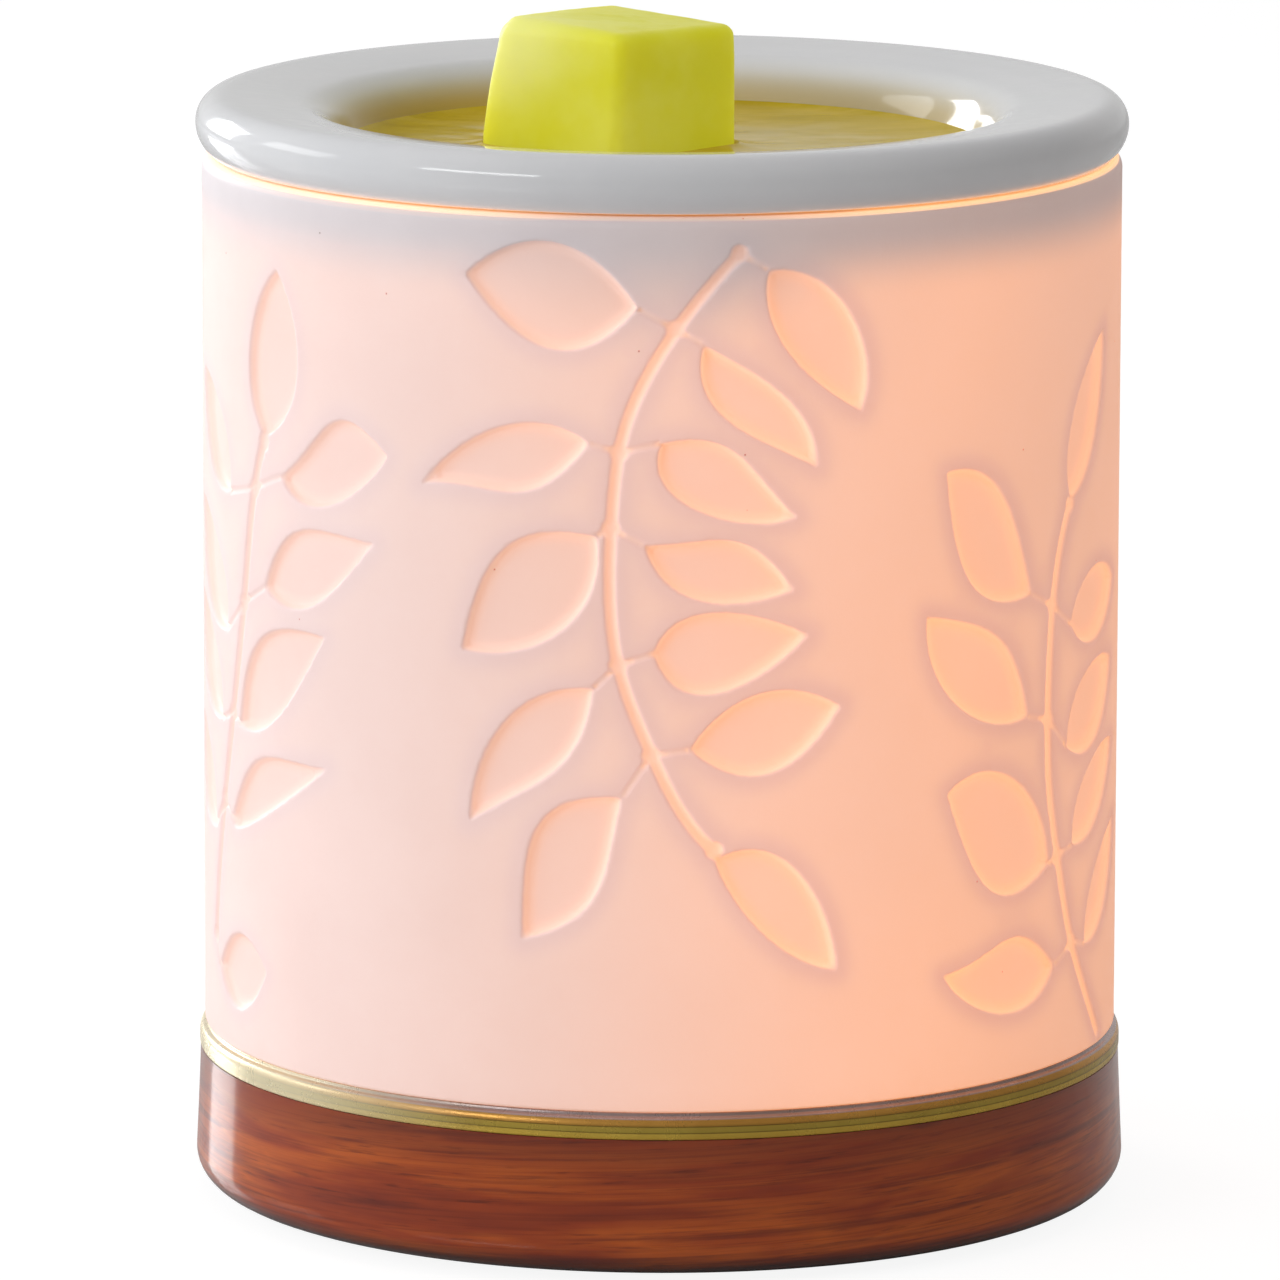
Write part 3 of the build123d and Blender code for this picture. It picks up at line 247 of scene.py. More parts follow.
def one_minus(value):
    """What a share leaves of the whole."""
    return math_node("SUBTRACT", 1.0, value)


def mix_colours(share, first, second, blend="MIX"):
    """Mixes two colours, given as colours or sockets, by a number or socket."""
    made = add_node(tree_with(share, first, second), "Mix",
                    settings={"data_type": "RGBA", "blend_type": blend})
    for number, value in ((0, share), (6, first), (7, second)):
        plug(made.inputs[number], value)
    return made.outputs[2]


def ramp_node(value, stops):
    """A colour ramp: stops are a place and a colour as it is seen."""
    made = add_node(value.id_data, "ValToRGB", value)
    ramp = made.color_ramp
    while len(ramp.elements) < len(stops):
        ramp.elements.new(0.5)
    for element, (place, *colour) in zip(ramp.elements, stops):
        element.position = place
        element.color = seen(*colour)
    return made.outputs[0]


def range_node(value, low, high, new_low=0.0, new_high=1.0):
    """Maps a value from one range to another with a soft step, and stops at its ends."""
    return add_node(value.id_data, "MapRange", value, low, high, new_low, new_high,
                    settings={"interpolation_type": "SMOOTHSTEP"}).outputs[0]


def range_mm(value, low, high, new_low=0.0, new_high=1.0):
    """The same for a distance on the object, with its range in millimetres."""
    return range_node(value, low * MM, high * MM, new_low, new_high)


# %% Places and noises
def object_place(tree):
    """Where a point of the surface is, in metres."""
    return add_node(tree, "TexCoord").outputs["Object"]


def split(vector):
    """The X, Y and Z of a place or direction."""
    return tuple(add_node(vector.id_data, "SeparateXYZ", vector).outputs)


def mapped(vector, **values):
    """A place after its coordinates are turned or stretched."""
    return add_node(vector.id_data, "Mapping", vector, **values).outputs["Vector"]


def cloud(place, **values):
    """A noise between 0 and 1 at a place."""
    return add_node(place.id_data, "TexNoise", Vector=place, **values).outputs["Fac"]


# %% Shared effects
FLOAT, COLOUR = "NodeSocketFloat", "NodeSocketColor"


def effect_group(name, inputs, result_name, result_kind):
    """A new node group with named sockets, its inputs' sockets, and its output node."""
    tree = bpy.data.node_groups.new(name, "ShaderNodeTree")
    for label, kind, value in inputs:
        socket = tree.interface.new_socket(label, in_out="INPUT", socket_type=kind)
        socket.default_value = value
    tree.interface.new_socket(result_name, in_out="OUTPUT", socket_type=result_kind)
    return tree, tree.nodes.new("NodeGroupInput").outputs, tree.nodes.new("NodeGroupOutput")


def build_mottle():
    """A slow drift of lightness and tint: Colour out."""
    tree, given, result = effect_group(
        "Mottle", [("Colour", COLOUR, (0.5, 0.5, 0.5, 1)), ("Tint", COLOUR, (0.4, 0.4, 0.4, 1)),
                   ("Scale", FLOAT, 60.0), ("Amount", FLOAT, 0.3)], "Colour", COLOUR)
    drift = cloud(object_place(tree), Scale=given["Scale"], Detail=4.0, Roughness=0.6)
    share = product(range_node(drift, 0.3, 0.7), given["Amount"])
    feed(result, mix_colours(share, given["Colour"], given["Tint"]))
    return tree


def build_fine_grain():
    """Fine bumps for a Bump node: a coarse and a fine noise added up, as Height."""
    tree, given, result = effect_group(
        "Fine grain", [("Scale", FLOAT, 2000.0), ("Waviness", FLOAT, 0.3)], "Height", FLOAT)
    place = object_place(tree)
    fine = cloud(place, Scale=given["Scale"], Detail=3.0, Roughness=0.65)
    slow = math_node("DIVIDE", given["Scale"], 18.0)
    wave = cloud(place, Scale=slow, Detail=2.0, Roughness=0.4)
    feed(result, math_node("MULTIPLY_ADD", wave, given["Waviness"], fine))
    return tree


def build_smears():
    """Finger smears and dulling on a polished surface: Roughness out."""
    tree, given, result = effect_group(
        "Smears", [("Clean", FLOAT, 0.1), ("Smeared", FLOAT, 0.25), ("Scale", FLOAT, 40.0)],
        "Roughness", FLOAT)
    drift = cloud(object_place(tree), Scale=given["Scale"], Detail=5.0, Roughness=0.7,
                  Distortion=0.6)
    spread = math_node("SUBTRACT", given["Smeared"], given["Clean"])
    share = range_node(drift, 0.42, 0.72)
    feed(result, math_node("MULTIPLY_ADD", share, spread, given["Clean"]))
    return tree


MOTTLE, FINE_GRAIN, SMEARS = build_mottle(), build_fine_grain(), build_smears()
print("shared effects", [group.name for group in (MOTTLE, FINE_GRAIN, SMEARS)])


# %% Putting a finish together
def new_material(name, **values):
    """A material with one Principled shader, whose plain inputs are set by name."""
    material = bpy.data.materials.new(name)
    material.use_nodes = True
    tree = material.node_tree
    return material, tree, feed(tree.nodes["Principled BSDF"], **values)


def place_group(tree, group, *values):
    """Places a shared effect in a material with its own values, and gives its output."""
    made = add_node(tree, "Group", settings={"node_tree": group})
    return feed(made, *values).outputs[0]


def mottled(tree, colour, tint, scale, amount):
    """A colour as it is seen that drifts towards a tint."""
    return place_group(tree, MOTTLE, seen(*colour), seen(*tint), scale, amount)


def add_smears(shader, clean, smeared, scale):
    """Smears in a surface's roughness."""
    feed(shader, Roughness=place_group(shader.id_data, SMEARS, clean, smeared, scale))


def add_bump(shader, height, depth_mm, strength=1.0):
    """Feeds a height to the shader's normal through a Bump node."""
    bump = add_node(shader.id_data, "Bump", Strength=strength, Distance=depth_mm * MM,
                    Height=height)
    feed(shader, Normal=bump.outputs["Normal"])


def add_grain(shader, scale, waviness, depth_mm):
    """Fine grain in a surface's normal."""
    add_bump(shader, place_group(shader.id_data, FINE_GRAIN, scale, waviness), depth_mm)


def dress(made, material):
    """Gives an object one material, in the object's own slots."""
    if not made.material_slots:
        made.data.materials.append(material)
    for slot in made.material_slots:
        slot.link = "OBJECT"
        slot.material = material
    print(made.name, "wears", material.name)


# %% [markdown]
# ## The carved shade
# The shade is unglazed porcelain with leaf sprigs carved about a millimetre deep. The packed
# solid has them with knife-sharp edges, but a potter's sponge softens every edge before the
# firing, and that soft wall is what catches the light here. A bump map could fake it, but the
# silhouette and an exported mesh would lose it. So the outside is meshed again: the outlines are
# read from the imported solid, rings of points are laid beside them, the flat sheet is triangulated
# and wrapped round the shade, and each point sinks by how far inside a leaf it lies.

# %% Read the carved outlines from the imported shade
shade_low, shade_high = reach_mm("shade")
shade_radius = shade_high.x
shade_foot, shade_mouth = shade_low.z, shade_high.z
shade_wall = 3.6
carving_depth = 1.1
mouth_round, foot_round = 1.6, 0.5
ray_start, ray_length = 2.0, 6.0
packed_gap = 0.005

packed_shade = bmesh.new()
packed_shade.from_mesh(frame["nodes"]["shade"].data)
bmesh.ops.remove_doubles(packed_shade, verts=packed_shade.verts, dist=packed_gap * MM)
shade_tree = BVHTree.FromBMesh(packed_shade)
print("packed shade", len(packed_shade.faces), "faces")


def is_carved(across, height):
    """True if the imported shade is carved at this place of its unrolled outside."""
    angle = across / shade_radius
    outward = Vector((math.sin(angle), -math.cos(angle), 0.0))
    start = outward * (shade_radius + ray_start) * MM + Vector((0, 0, height * MM))
    hit = shade_tree.ray_cast(start, -outward, ray_length * MM)[0]
    return hit is not None and math.hypot(hit.x, hit.y) / MM < shade_radius - carving_depth / 2


# %% Collect the outlines
on_skin = 0.03
flat_lean = 0.6
end_gaps = 0.6, 0.1


def on_outside(vertex):
    """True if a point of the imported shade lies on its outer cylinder."""
    return abs(math.hypot(vertex.co.x, vertex.co.y) / MM - shade_radius) < on_skin


def unroll(place):
    """Distance round the shade from its front, and height, in millimetres."""
    return math.atan2(place.x, -place.y) * shade_radius, place.z / MM


outline_runs = []
for edge in packed_shade.edges:
    first, second = edge.verts
    if len(edge.link_faces) == 2 and on_outside(first) and on_outside(second):
        radial = (first.co + second.co) / 2
        radial.z = 0.0
        radial.normalize()
        lean = [abs(face.normal.dot(radial)) for face in edge.link_faces]
        clear_of_ends = (shade_foot + end_gaps[0] < first.co.z / MM
                         < shade_mouth - mouth_round - end_gaps[1])
        if min(lean) < flat_lean < max(lean) and clear_of_ends:
            start, end = unroll(first.co), unroll(second.co)
            if abs(start[0] - end[0]) < shade_radius:
                outline_runs.append((np.array(start), np.array(end)))
packed_shade.free()
print("carved outline", round(sum(np.linalg.norm(b - a) for a, b in outline_runs)), "mm")

# %% Measure distances to the outlines
outline_step = 0.1
outline_dots = []
for start, end in outline_runs:
    count = max(1, math.ceil(np.linalg.norm(end - start) / outline_step))
    outline_dots += [start + (end - start) * (k + 0.5) / count for k in range(count)]


def around(across, height):
    """A point of the unrolled sheet as a place on the cylinder, for distances."""
    angle = across / shade_radius
    return (shade_radius * math.sin(angle), -shade_radius * math.cos(angle), height)


def search_tree(places):
    """A search tree over places in millimetres, given as pairs of number and place."""
    tree = kdtree.KDTree(len(places))
    for number, place in places:
        tree.insert(place, number)
    tree.balance()
    return tree


outline_tree = search_tree([(number, around(*dot)) for number, dot in enumerate(outline_dots)])
print("outline dots", len(outline_dots))


def outline_distance(across, height):
    """Distance in millimetres from a place of the sheet to the nearest carved outline."""
    return outline_tree.find(around(across, height))[2]


# %% Keep dots apart
class DotGrid:
    """Keeps dots of a sheet at least a given distance apart."""

    def __init__(self, cell):
        self.cell, self.cells, self.dots = cell, {}, []

    def near(self, dot, gap):
        """True if a kept dot lies closer than gap."""
        column, row = int(dot[0] // self.cell), int(dot[1] // self.cell)
        reach = math.ceil(gap / self.cell)
        for i in range(column - reach, column + reach + 1):
            for j in range(row - reach, row + reach + 1):
                for other in self.cells.get((i, j), ()):
                    if (other[0] - dot[0]) ** 2 + (other[1] - dot[1]) ** 2 < gap * gap:
                        return True
        return False

    def keep(self, dot):
        """Adds a dot without asking."""
        key = (int(dot[0] // self.cell), int(dot[1] // self.cell))
        self.cells.setdefault(key, []).append(dot)
        self.dots.append(dot)


half_turn = math.pi * shade_radius
rim_steps = 640
rim_step = 2 * half_turn / rim_steps
sheet_low, sheet_high = shade_foot + foot_round, shade_mouth - mouth_round
sheet_rise = sheet_high - sheet_low

sheet = DotGrid(0.6)
for column in range(rim_steps + 1):
    for height in (sheet_low, sheet_high):
        sheet.keep((-half_turn + column * rim_step, height))
seam_rows = round(sheet_rise / rim_step)
for row in range(1, seam_rows):
    for seam in (-half_turn, half_turn):
        sheet.keep((seam, sheet_low + sheet_rise * row / seam_rows))
print("dots on the sheet's border", len(sheet.dots))

# %% Lay rings of dots beside the outlines
ring_step = 0.55
ring_offsets = [0.0, -0.26, 0.26, -0.52, 0.6, -0.8, -1.1, 1.1, -1.5, 1.9, -2.0]
border_gap = 0.3
close_gap, wide_gap = 0.24, 0.4


def lay_ring_dot(dot, offset):
    """Keeps a dot beside an outline if it is inside the border, on its side and clear."""
    inside = (abs(dot[0]) < half_turn - border_gap
              and sheet_low + border_gap < dot[1] < sheet_high - border_gap)
    if not inside or outline_distance(*dot) < 0.9 * abs(offset):
        return
    if offset and is_carved(*dot) != (offset < 0):
        return
    if not sheet.near(dot, close_gap if abs(offset) < 1.0 else wide_gap):
        sheet.keep(dot)


for offset in ring_offsets:
    for start, end in outline_runs:
        along = end - start
        length = np.linalg.norm(along)
        if length < 1e-6:
            continue
        across = np.array((-along[1], along[0])) / length
        count = max(1, round(length / ring_step))
        for k in range(count):
            middle = start + along * (k + 0.5) / count
            for side in ((1, -1) if offset else (1,)):
                lay_ring_dot(tuple(middle + across * abs(offset) * side), offset)
print("with the rings", len(sheet.dots))

# %% Fill the sheet and triangulate it
near_fill, far_fill = (1.3, 5.0), (2.4, 60.0)
packing = 0.62
for spacing, reach in (near_fill, far_fill):
    columns = round(2 * half_turn / spacing)
    rows = round(sheet_rise / spacing)
    for row in range(1, rows):
        for column in range(1, columns):
            shift = 0.5 * (row % 2)
            dot = (-half_turn + (column + shift - 0.25) * 2 * half_turn / columns,
                   sheet_low + row * sheet_rise / rows)
            gap = outline_distance(*dot)
            if gap < reach and not sheet.near(dot, packing * min(spacing, 0.5 + 0.5 * gap)):
                sheet.keep(dot)

flat = geometry.delaunay_2d_cdt([Vector(dot) for dot in sheet.dots], [], [], 0, 1e-7, False)
flat_points = np.array([tuple(point) for point in flat[0]])
flat_faces = flat[2]
print("sheet points", len(sheet.dots), "faces", len(flat_faces))

# %% Sink the leaves
wall_out, wall_in = 0.2, 1.7
lip_share = 0.3
narrow_depth, narrow, widening = 0.3, 0.4, 0.8
search_reach, full_width = 1.5, 1.4

distance = np.array([outline_distance(*dot) for dot in flat_points])
carved = np.array([is_carved(*dot) for dot in flat_points])
signed = np.where(carved, -distance, distance)
places = [around(*dot) for dot in flat_points]
carved_tree = search_tree([(int(number), places[number]) for number in np.nonzero(carved)[0]])


def cut_width(place):
    """How wide the carving is near a place: the largest distance to its outline in reach."""
    near = carved_tree.find_range(place, search_reach)
    return max((distance[number] for spot, number, gap in near), default=full_width)


def carved_depth(inside, width):
    """Share of the full depth: a soft lip, a steep wall and a floor that levels out."""
    share = np.clip((inside + wall_out) / (wall_out + wall_in), 0.0, 1.0)
    wall = (1.0 - (1.0 - share) ** 3.0) * smoothstep(share / lip_share)
    return wall * (narrow_depth + (1.0 - narrow_depth) * smoothstep((width - narrow) / widening))


width = np.array([cut_width(place) if gap < wall_in else 1.0
                  for place, gap in zip(places, signed)])
on_edge = (flat_points[:, 1] < sheet_low + 1e-4) | (flat_points[:, 1] > sheet_high - 1e-4)
sunk = np.where(on_edge, 0.0, carved_depth(-signed, width))
radius = shade_radius - carving_depth * sunk
angle = flat_points[:, 0] / shade_radius
skin = np.column_stack((radius * np.sin(angle), -radius * np.cos(angle), flat_points[:, 1]))
print("deepest", round(carving_depth * float(sunk.max()), 2), "mm")

# %% Close the shade with its mouth, inside and foot
mouth_inner = 1.0
inside_rows = 28
inner_radius = shade_radius - shade_wall
rim_outline = [(shade_radius, sheet_high)]
for k in range(1, 9):
    turn = math.pi / 2 * k / 8
    rim_outline.append((shade_radius - mouth_round * (1 - math.cos(turn)),
                        sheet_high + mouth_round * math.sin(turn)))
for k in range(0, 7):
    turn = math.pi / 2 * k / 6
    rim_outline.append((inner_radius + mouth_inner * (1 - math.sin(turn)),
                        shade_mouth - mouth_inner * (1 - math.cos(turn))))
for height in np.linspace(shade_mouth - 3.0, shade_foot + 1.0, inside_rows):
    rim_outline.append((inner_radius, float(height)))
rim_outline.append((inner_radius, shade_foot))
for k in range(0, 5):
    turn = math.pi / 2 * k / 4
    rim_outline.append((shade_radius - foot_round * (1 - math.sin(turn)),
                        shade_foot + foot_round * (1 - math.cos(turn))))
points = [tuple(point) for point in skin]
faces = [tuple(face) for face in flat_faces]
base = len(points)
for column in range(rim_steps):
    turn = -math.pi + 2 * math.pi * column / rim_steps
    points += [(r * math.sin(turn), -r * math.cos(turn), z) for r, z in rim_outline]
size = len(rim_outline)
for column in range(rim_steps):
    here, there = base + column * size, base + (column + 1) % rim_steps * size
    faces += [(here + k, there + k, there + k + 1, here + k + 1) for k in range(size - 1)]

shade = new_object("porcelain_shade", points, faces)
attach(shade, "root")
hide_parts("shade")

# %% Store the carving for the material
far_from_leaves = 9.0
skin_tree = search_tree(list(enumerate(skin)))
depth = np.zeros(len(shade.data.vertices))
edge_gap = np.full(len(shade.data.vertices), far_from_leaves)
for number, place in enumerate(place_mm(shade)):
    spot, source, gap = skin_tree.find(place)
    if gap < 0.01:
        depth[number], edge_gap[number] = sunk[source], signed[source]
paint_values(shade, "carved", depth)
paint_values(shade, "edge_gap", edge_gap)
print("points on the skin", int((edge_gap < far_from_leaves).sum()))

# %% [markdown]
# ### Porcelain that glows
# Lit porcelain shows two lights at once. The room's light falls on a matte white surface, and the
# lamp's light comes through the wall, orange, and stronger where the carving has made the wall
# thin. Real scattering would need many samples and is lost when the model is exported, so the
# light that comes through is written as an even glow whose colour follows the carving. Beside a
# leaf the wall is at its thickest and the glow is weakest, which gives each leaf its dull halo,
# and the dish's skirt shades the top few millimetres.

# %% Bisque clay
def bisque_colour(tree, place, carved_in):
    """White clay with painted shade in the carving, rare dark specks, and the specks' mask."""
    body = mottled(tree, (241, 236, 240), (232, 227, 231), scale=45.0, amount=0.5)
    # Painted shade: the carved leaves are darkened a little towards a warm grey.
    painted_carving_shade = mix_colours(product(carved_in, 0.1), body, seen(170, 150, 140))
    cells = add_node(tree, "TexVoronoi", Vector=place, Scale=260.0).outputs
    chance = add_node(tree, "TexWhiteNoise", Vector=cells["Position"]).outputs["Value"]
    rare = math_node("GREATER_THAN", chance, 0.82)
    specks = product(rare, range_node(cells["Distance"], 0.05, 0.02))
    return mix_colours(product(specks, 0.6), painted_carving_shade, seen(120, 90, 70)), specks


# %% The glow's colour
GLOW_GROUND = (0.57, 0.18, 0.025, 1.0)
GLOW_LEAF = (0.64, 0.205, 0.035, 1.0)
GLOW_WALL = (0.76, 0.235, 0.03, 1.0)
GLOW_DULL = (0.44, 0.11, 0.012, 1.0)
GLOW_RIM = (0.9, 0.38, 0.10, 1.0)


def glow_colour(carved_in, gap):
    """Orange that is brighter in a leaf and on its wall, and dull in a halo beside it."""
    outside = range_node(carved_in, 0.0, 0.35, 1.0, 0.0)
    halo = product(range_node(gap, 0.1, 3.6, 0.9, 0.0), outside)
    glow = mix_colours(halo, GLOW_GROUND, GLOW_DULL)
    glow = mix_colours(carved_in, glow, GLOW_LEAF)
    on_wall = product(range_node(carved_in, 0.15, 0.5), range_node(gap, -2.2, -0.6))
    return mix_colours(on_wall, glow, GLOW_WALL)


# %% The glow's level
shade_begins = shade_mouth - 2.6
fade_front, fade_sides = 16.5 * MM, 8.8 * MM
seam_centre = shade_mouth - 0.27
leaf_share = 0.5


def glow_level(place, carved_in, specks):
    """How much of the lamp's light comes through: less to the left and under the dish's lip."""
    x, y, height = split(place)
    side = product(range_mm(x, -45, 36, 0.52, 1.12), range_mm(x, 36, 62, 1.0, 0.84))
    off_centre = math_node("ABSOLUTE", x)
    below = math_node("SUBTRACT", shade_begins * MM, height)
    reach = range_mm(off_centre, 4, 28, fade_front, fade_sides)
    fade = range_node(math_node("DIVIDE", below, reach), 0.0, 1.0)
    least = range_mm(x, -10, 30, 0.14, 0.24)
    top = math_node("MULTIPLY_ADD", fade, one_minus(least), least)
    kept = product(one_minus(top), carved_in)
    top = math_node("MULTIPLY_ADD", kept, leaf_share, top)
    drift = range_node(cloud(place, Scale=14.0, Detail=2.0), 0.3, 0.7, 0.94, 1.06)
    return product(top, side, drift, range_node(specks, 0.0, 1.0, 1.0, 0.6))


def rim_level(place):
    """Light that leaves the mouth's rounded edge, strongest in a line at the seam."""
    x, y, height = split(place)
    soft = range_mm(height, shade_mouth - 1.7, shade_mouth - 0.1, 0.0, 0.3)
    from_seam = math_node("SUBTRACT", height, seam_centre * MM)
    line = range_mm(math_node("ABSOLUTE", from_seam), 0.14, 0.34, 1.0, 0.0)
    to_sides = range_mm(math_node("ABSOLUTE", x), 4, 34, 0.25, 1.0)
    return product(math_node("MAXIMUM", soft, line), to_sides)


# %% Bisque material
def bisque_material():
    """Unglazed porcelain with the lamp's light coming through it."""
    material, tree, shader = new_material("Bisque porcelain", Specular_IOR_Level=0.3)
    carved_in, gap = [
        add_node(tree, "Attribute", settings={"attribute_name": name}).outputs["Fac"]
        for name in ("carved", "edge_gap")]
    place = object_place(tree)
    colour, specks = bisque_colour(tree, place, carved_in)
    level, rim = glow_level(place, carved_in, specks), rim_level(place)
    at_rim = math_node("GREATER_THAN", rim, level)
    glow = mix_colours(at_rim, glow_colour(carved_in, gap), GLOW_RIM)
    shine = add_node(tree, "VectorMath", glow, settings={"operation": "SCALE"},
                     Scale=math_node("MAXIMUM", level, rim))
    feed(shader, Base_Color=colour, Emission_Color=shine.outputs[0], Emission_Strength=1.0)
    add_smears(shader, clean=0.46, smeared=0.58, scale=70.0)
    add_grain(shader, scale=1500.0, waviness=1.0, depth_mm=0.02)
    return material


dress(shade, bisque_material())

# %% [markdown]
# ## The glazed dish
# The dish lies loose on the shade. It has a broad rolled lip, a shallow bowl, and a skirt below
# that keeps it centred. Turning its outline again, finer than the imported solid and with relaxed
# corners, gives the long unbroken highlights that a fired glaze has.

# %% Dish
dish_low, dish_high = reach_mm("wax_dish")
lip_top = dish_high.z
lip_level = lip_top - 7.7
lip_radius = 62.5
skirt_foot = dish_low.z
skirt_outer, skirt_inner = 57.2, 53.6
bowl_floor = lip_top - 14.9
bowl_wall = 4.0
bowl_bulge = (41.6, bowl_floor + 5.4)
bowl_edge = (44.4, lip_top - 3.6)
floor_edge = (33.0, bowl_floor)
lip_flat, lip_side = (59.6, lip_top - 0.05), (lip_radius, lip_level + 4.6)
under_bowl = (48.4, lip_level + 1.0)

dish_inside = [(0.0, bowl_floor), floor_edge, *arc_through(floor_edge, bowl_bulge, bowl_edge)]
dish_lip = [
    bowl_edge, *arc_through(bowl_edge, (45.2, lip_top - 2.95), (47.2, lip_top - 1.5), 4),
    (53.0, lip_top - 0.7), lip_flat, *arc_through(lip_flat, (61.6, lip_top - 1.2), lip_side),
    *arc_through(lip_side, (62.0, lip_level + 1.6), (60.7, lip_level), 8)]
dish_below = [
    (skirt_outer, lip_level), (skirt_outer, skirt_foot), (skirt_inner, skirt_foot),
    (skirt_inner, lip_level + 1.0), under_bowl,
    *arc_through(under_bowl, (44.8, bowl_floor + 0.6), (33.0, bowl_floor - bowl_wall)),
    (0.0, bowl_floor - bowl_wall)]
seen_side = relax(divide_evenly(dish_inside + dish_lip[1:], 0.5), 8)
hidden_side = relax(divide_evenly([dish_lip[-1]] + dish_below, 0.8), 1)
dish = turned("glazed_dish", seen_side + hidden_side[1:])
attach(dish, "dish")
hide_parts("wax_dish")

# %% Glaze material
BLACK = (0, 0, 0, 1)
outside_bowl = 52.0 * MM


def glaze_material():
    """White porcelain under clear glaze, with the lamp's light in the seam below the lip."""
    material, tree, shader = new_material(
        "White glaze", Coat_Weight=0.4, Coat_Roughness=0.03, IOR=1.5, Specular_IOR_Level=0.5,
        Emission_Strength=0.2)
    place = object_place(tree)
    x, y, z = split(place)
    flat = add_node(tree, "VectorMath", place, (1.0, 1.0, 0.0),
                    settings={"operation": "MULTIPLY"}).outputs[0]
    from_axis = add_node(tree, "VectorMath", flat, settings={"operation": "LENGTH"})
    under_lip = math_node("GREATER_THAN", from_axis.outputs["Value"], outside_bowl)
    # A gold tint on the bowl's wall just above the pool, stronger to the left: partly wax left on
    # the glaze, partly a painted warm reflection of the pool.
    wax_and_reflection_tint = product(range_mm(z, lip_level + 0.8, lip_level + 6.0, 0.95, 0.0),
                   one_minus(under_lip), range_mm(x, -30, 20, 1.0, 0.7))
    body = mottled(tree, (236, 236, 238), (228, 229, 232), scale=38.0, amount=0.6)
    seam = product(range_mm(z, lip_level + 0.05, lip_level + 0.22, 1.0, 0.0), under_lip)
    feed(shader, Base_Color=mix_colours(wax_and_reflection_tint, body, seen(206, 176, 72)),
         Emission_Color=mix_colours(seam, BLACK, seen(255, 160, 70)))
    add_smears(shader, clean=0.1, smeared=0.17, scale=55.0)
    add_grain(shader, scale=420.0, waviness=1.4, depth_mm=0.012)
    return material


GLAZE = glaze_material()
dress(dish, GLAZE)

# %% [markdown]
# ## Melted wax
# The pool is a disc of liquid with a hole where the cube stands in it. Liquid wax wets both the
# glaze and the cube, so it climbs a little at each, and it is cooler at its rim, so slow swirls
# show in it. The top is a net of rings that runs from the cube's outline to the bowl's wall, and
# each point gets its height from those two climbs and the swirls.

# %% Where the cube stands
cube_side, cube_corner, pocket_gap = 26.0, 3.6, 0.3
cube_lean, cube_turn = math.radians(2.4), math.radians(46.9)
foot_rise = cube_side / math.sqrt(2) * math.sin(cube_lean)
cube_foot = Vector((-7.2, 1.0, bowl_floor + pocket_gap + foot_rise))
cube_up = Vector((math.sin(cube_lean), 0.0, math.cos(cube_lean)))
cube_along = Vector((math.cos(cube_turn), math.sin(cube_turn), 0.0))
cube_along.z = -cube_along.x * math.tan(cube_lean)
cube_along.normalize()
cube_frame = Matrix((cube_along, cube_up.cross(cube_along), cube_up)).transposed()


def rounded_square(half, corner, count):
    """Points round a square with rounded corners, at equal angles from its middle."""
    ring = []
    for k in range(count):
        angle = 2 * math.pi * k / count
        ray = Vector((math.cos(angle), math.sin(angle)))
        reach = half / max(abs(ray.x), abs(ray.y))
        inner = half - corner
        if min(abs(ray.x), abs(ray.y)) * reach > inner:
            middle = Vector((math.copysign(inner, ray.x), math.copysign(inner, ray.y)))
            along = ray.dot(middle)
            reach = along + math.sqrt(max(0.0, along ** 2 - middle.length_squared + corner ** 2))
        ring.append(ray * reach)
    return ring


# %% The pool's two borders
wax_low, wax_high = reach_mm("melted_wax")
wax_level = wax_high.z
pool_radius = wax_high.x
pool_spokes = 256
pocket_ring = []
for corner in rounded_square(cube_side / 2 + pocket_gap, cube_corner, pool_spokes):
    lift = (wax_level - cube_foot.z) / cube_up.z
    spot = cube_foot + cube_frame @ Vector((corner.x, corner.y, lift))
    pocket_ring.append(Vector((spot.x, spot.y)))
pool_middle = sum(pocket_ring, Vector((0, 0))) / pool_spokes
wall_ring = []
for spot in pocket_ring:
    ray = (spot - pool_middle).normalized()
    along = ray.dot(pool_middle)
    reach = -along + math.sqrt(along ** 2 - pool_middle.length_squared + (pool_radius - 0.05) ** 2)
    wall_ring.append(pool_middle + ray * reach)
print("pool", round(2 * pool_radius, 1), "mm wide, its pocket's middle at", pool_middle)

# %% The pool's surface
pool_rows = 40
climb_height, climb_reach = 0.55, 1.3
swirl_height, calm_reach = 0.16, 4.0
crowding = 0.16
# Without a seed of its own, noise_vector starts from the clock and changes with each run.
noise.seed_set(7)


def swirl(x, y):
    """Height of the slow swirls in the pool, in millimetres."""
    spot = Vector((x, y, 0.0)) * 0.045
    bend = noise.noise_vector(spot * 1.3) * 1.6
    stretched = Vector((spot.x * 0.8, spot.y * 2.6, 3.0)) + bend
    return noise.fractal(stretched, 0.9, 2.1, 3)


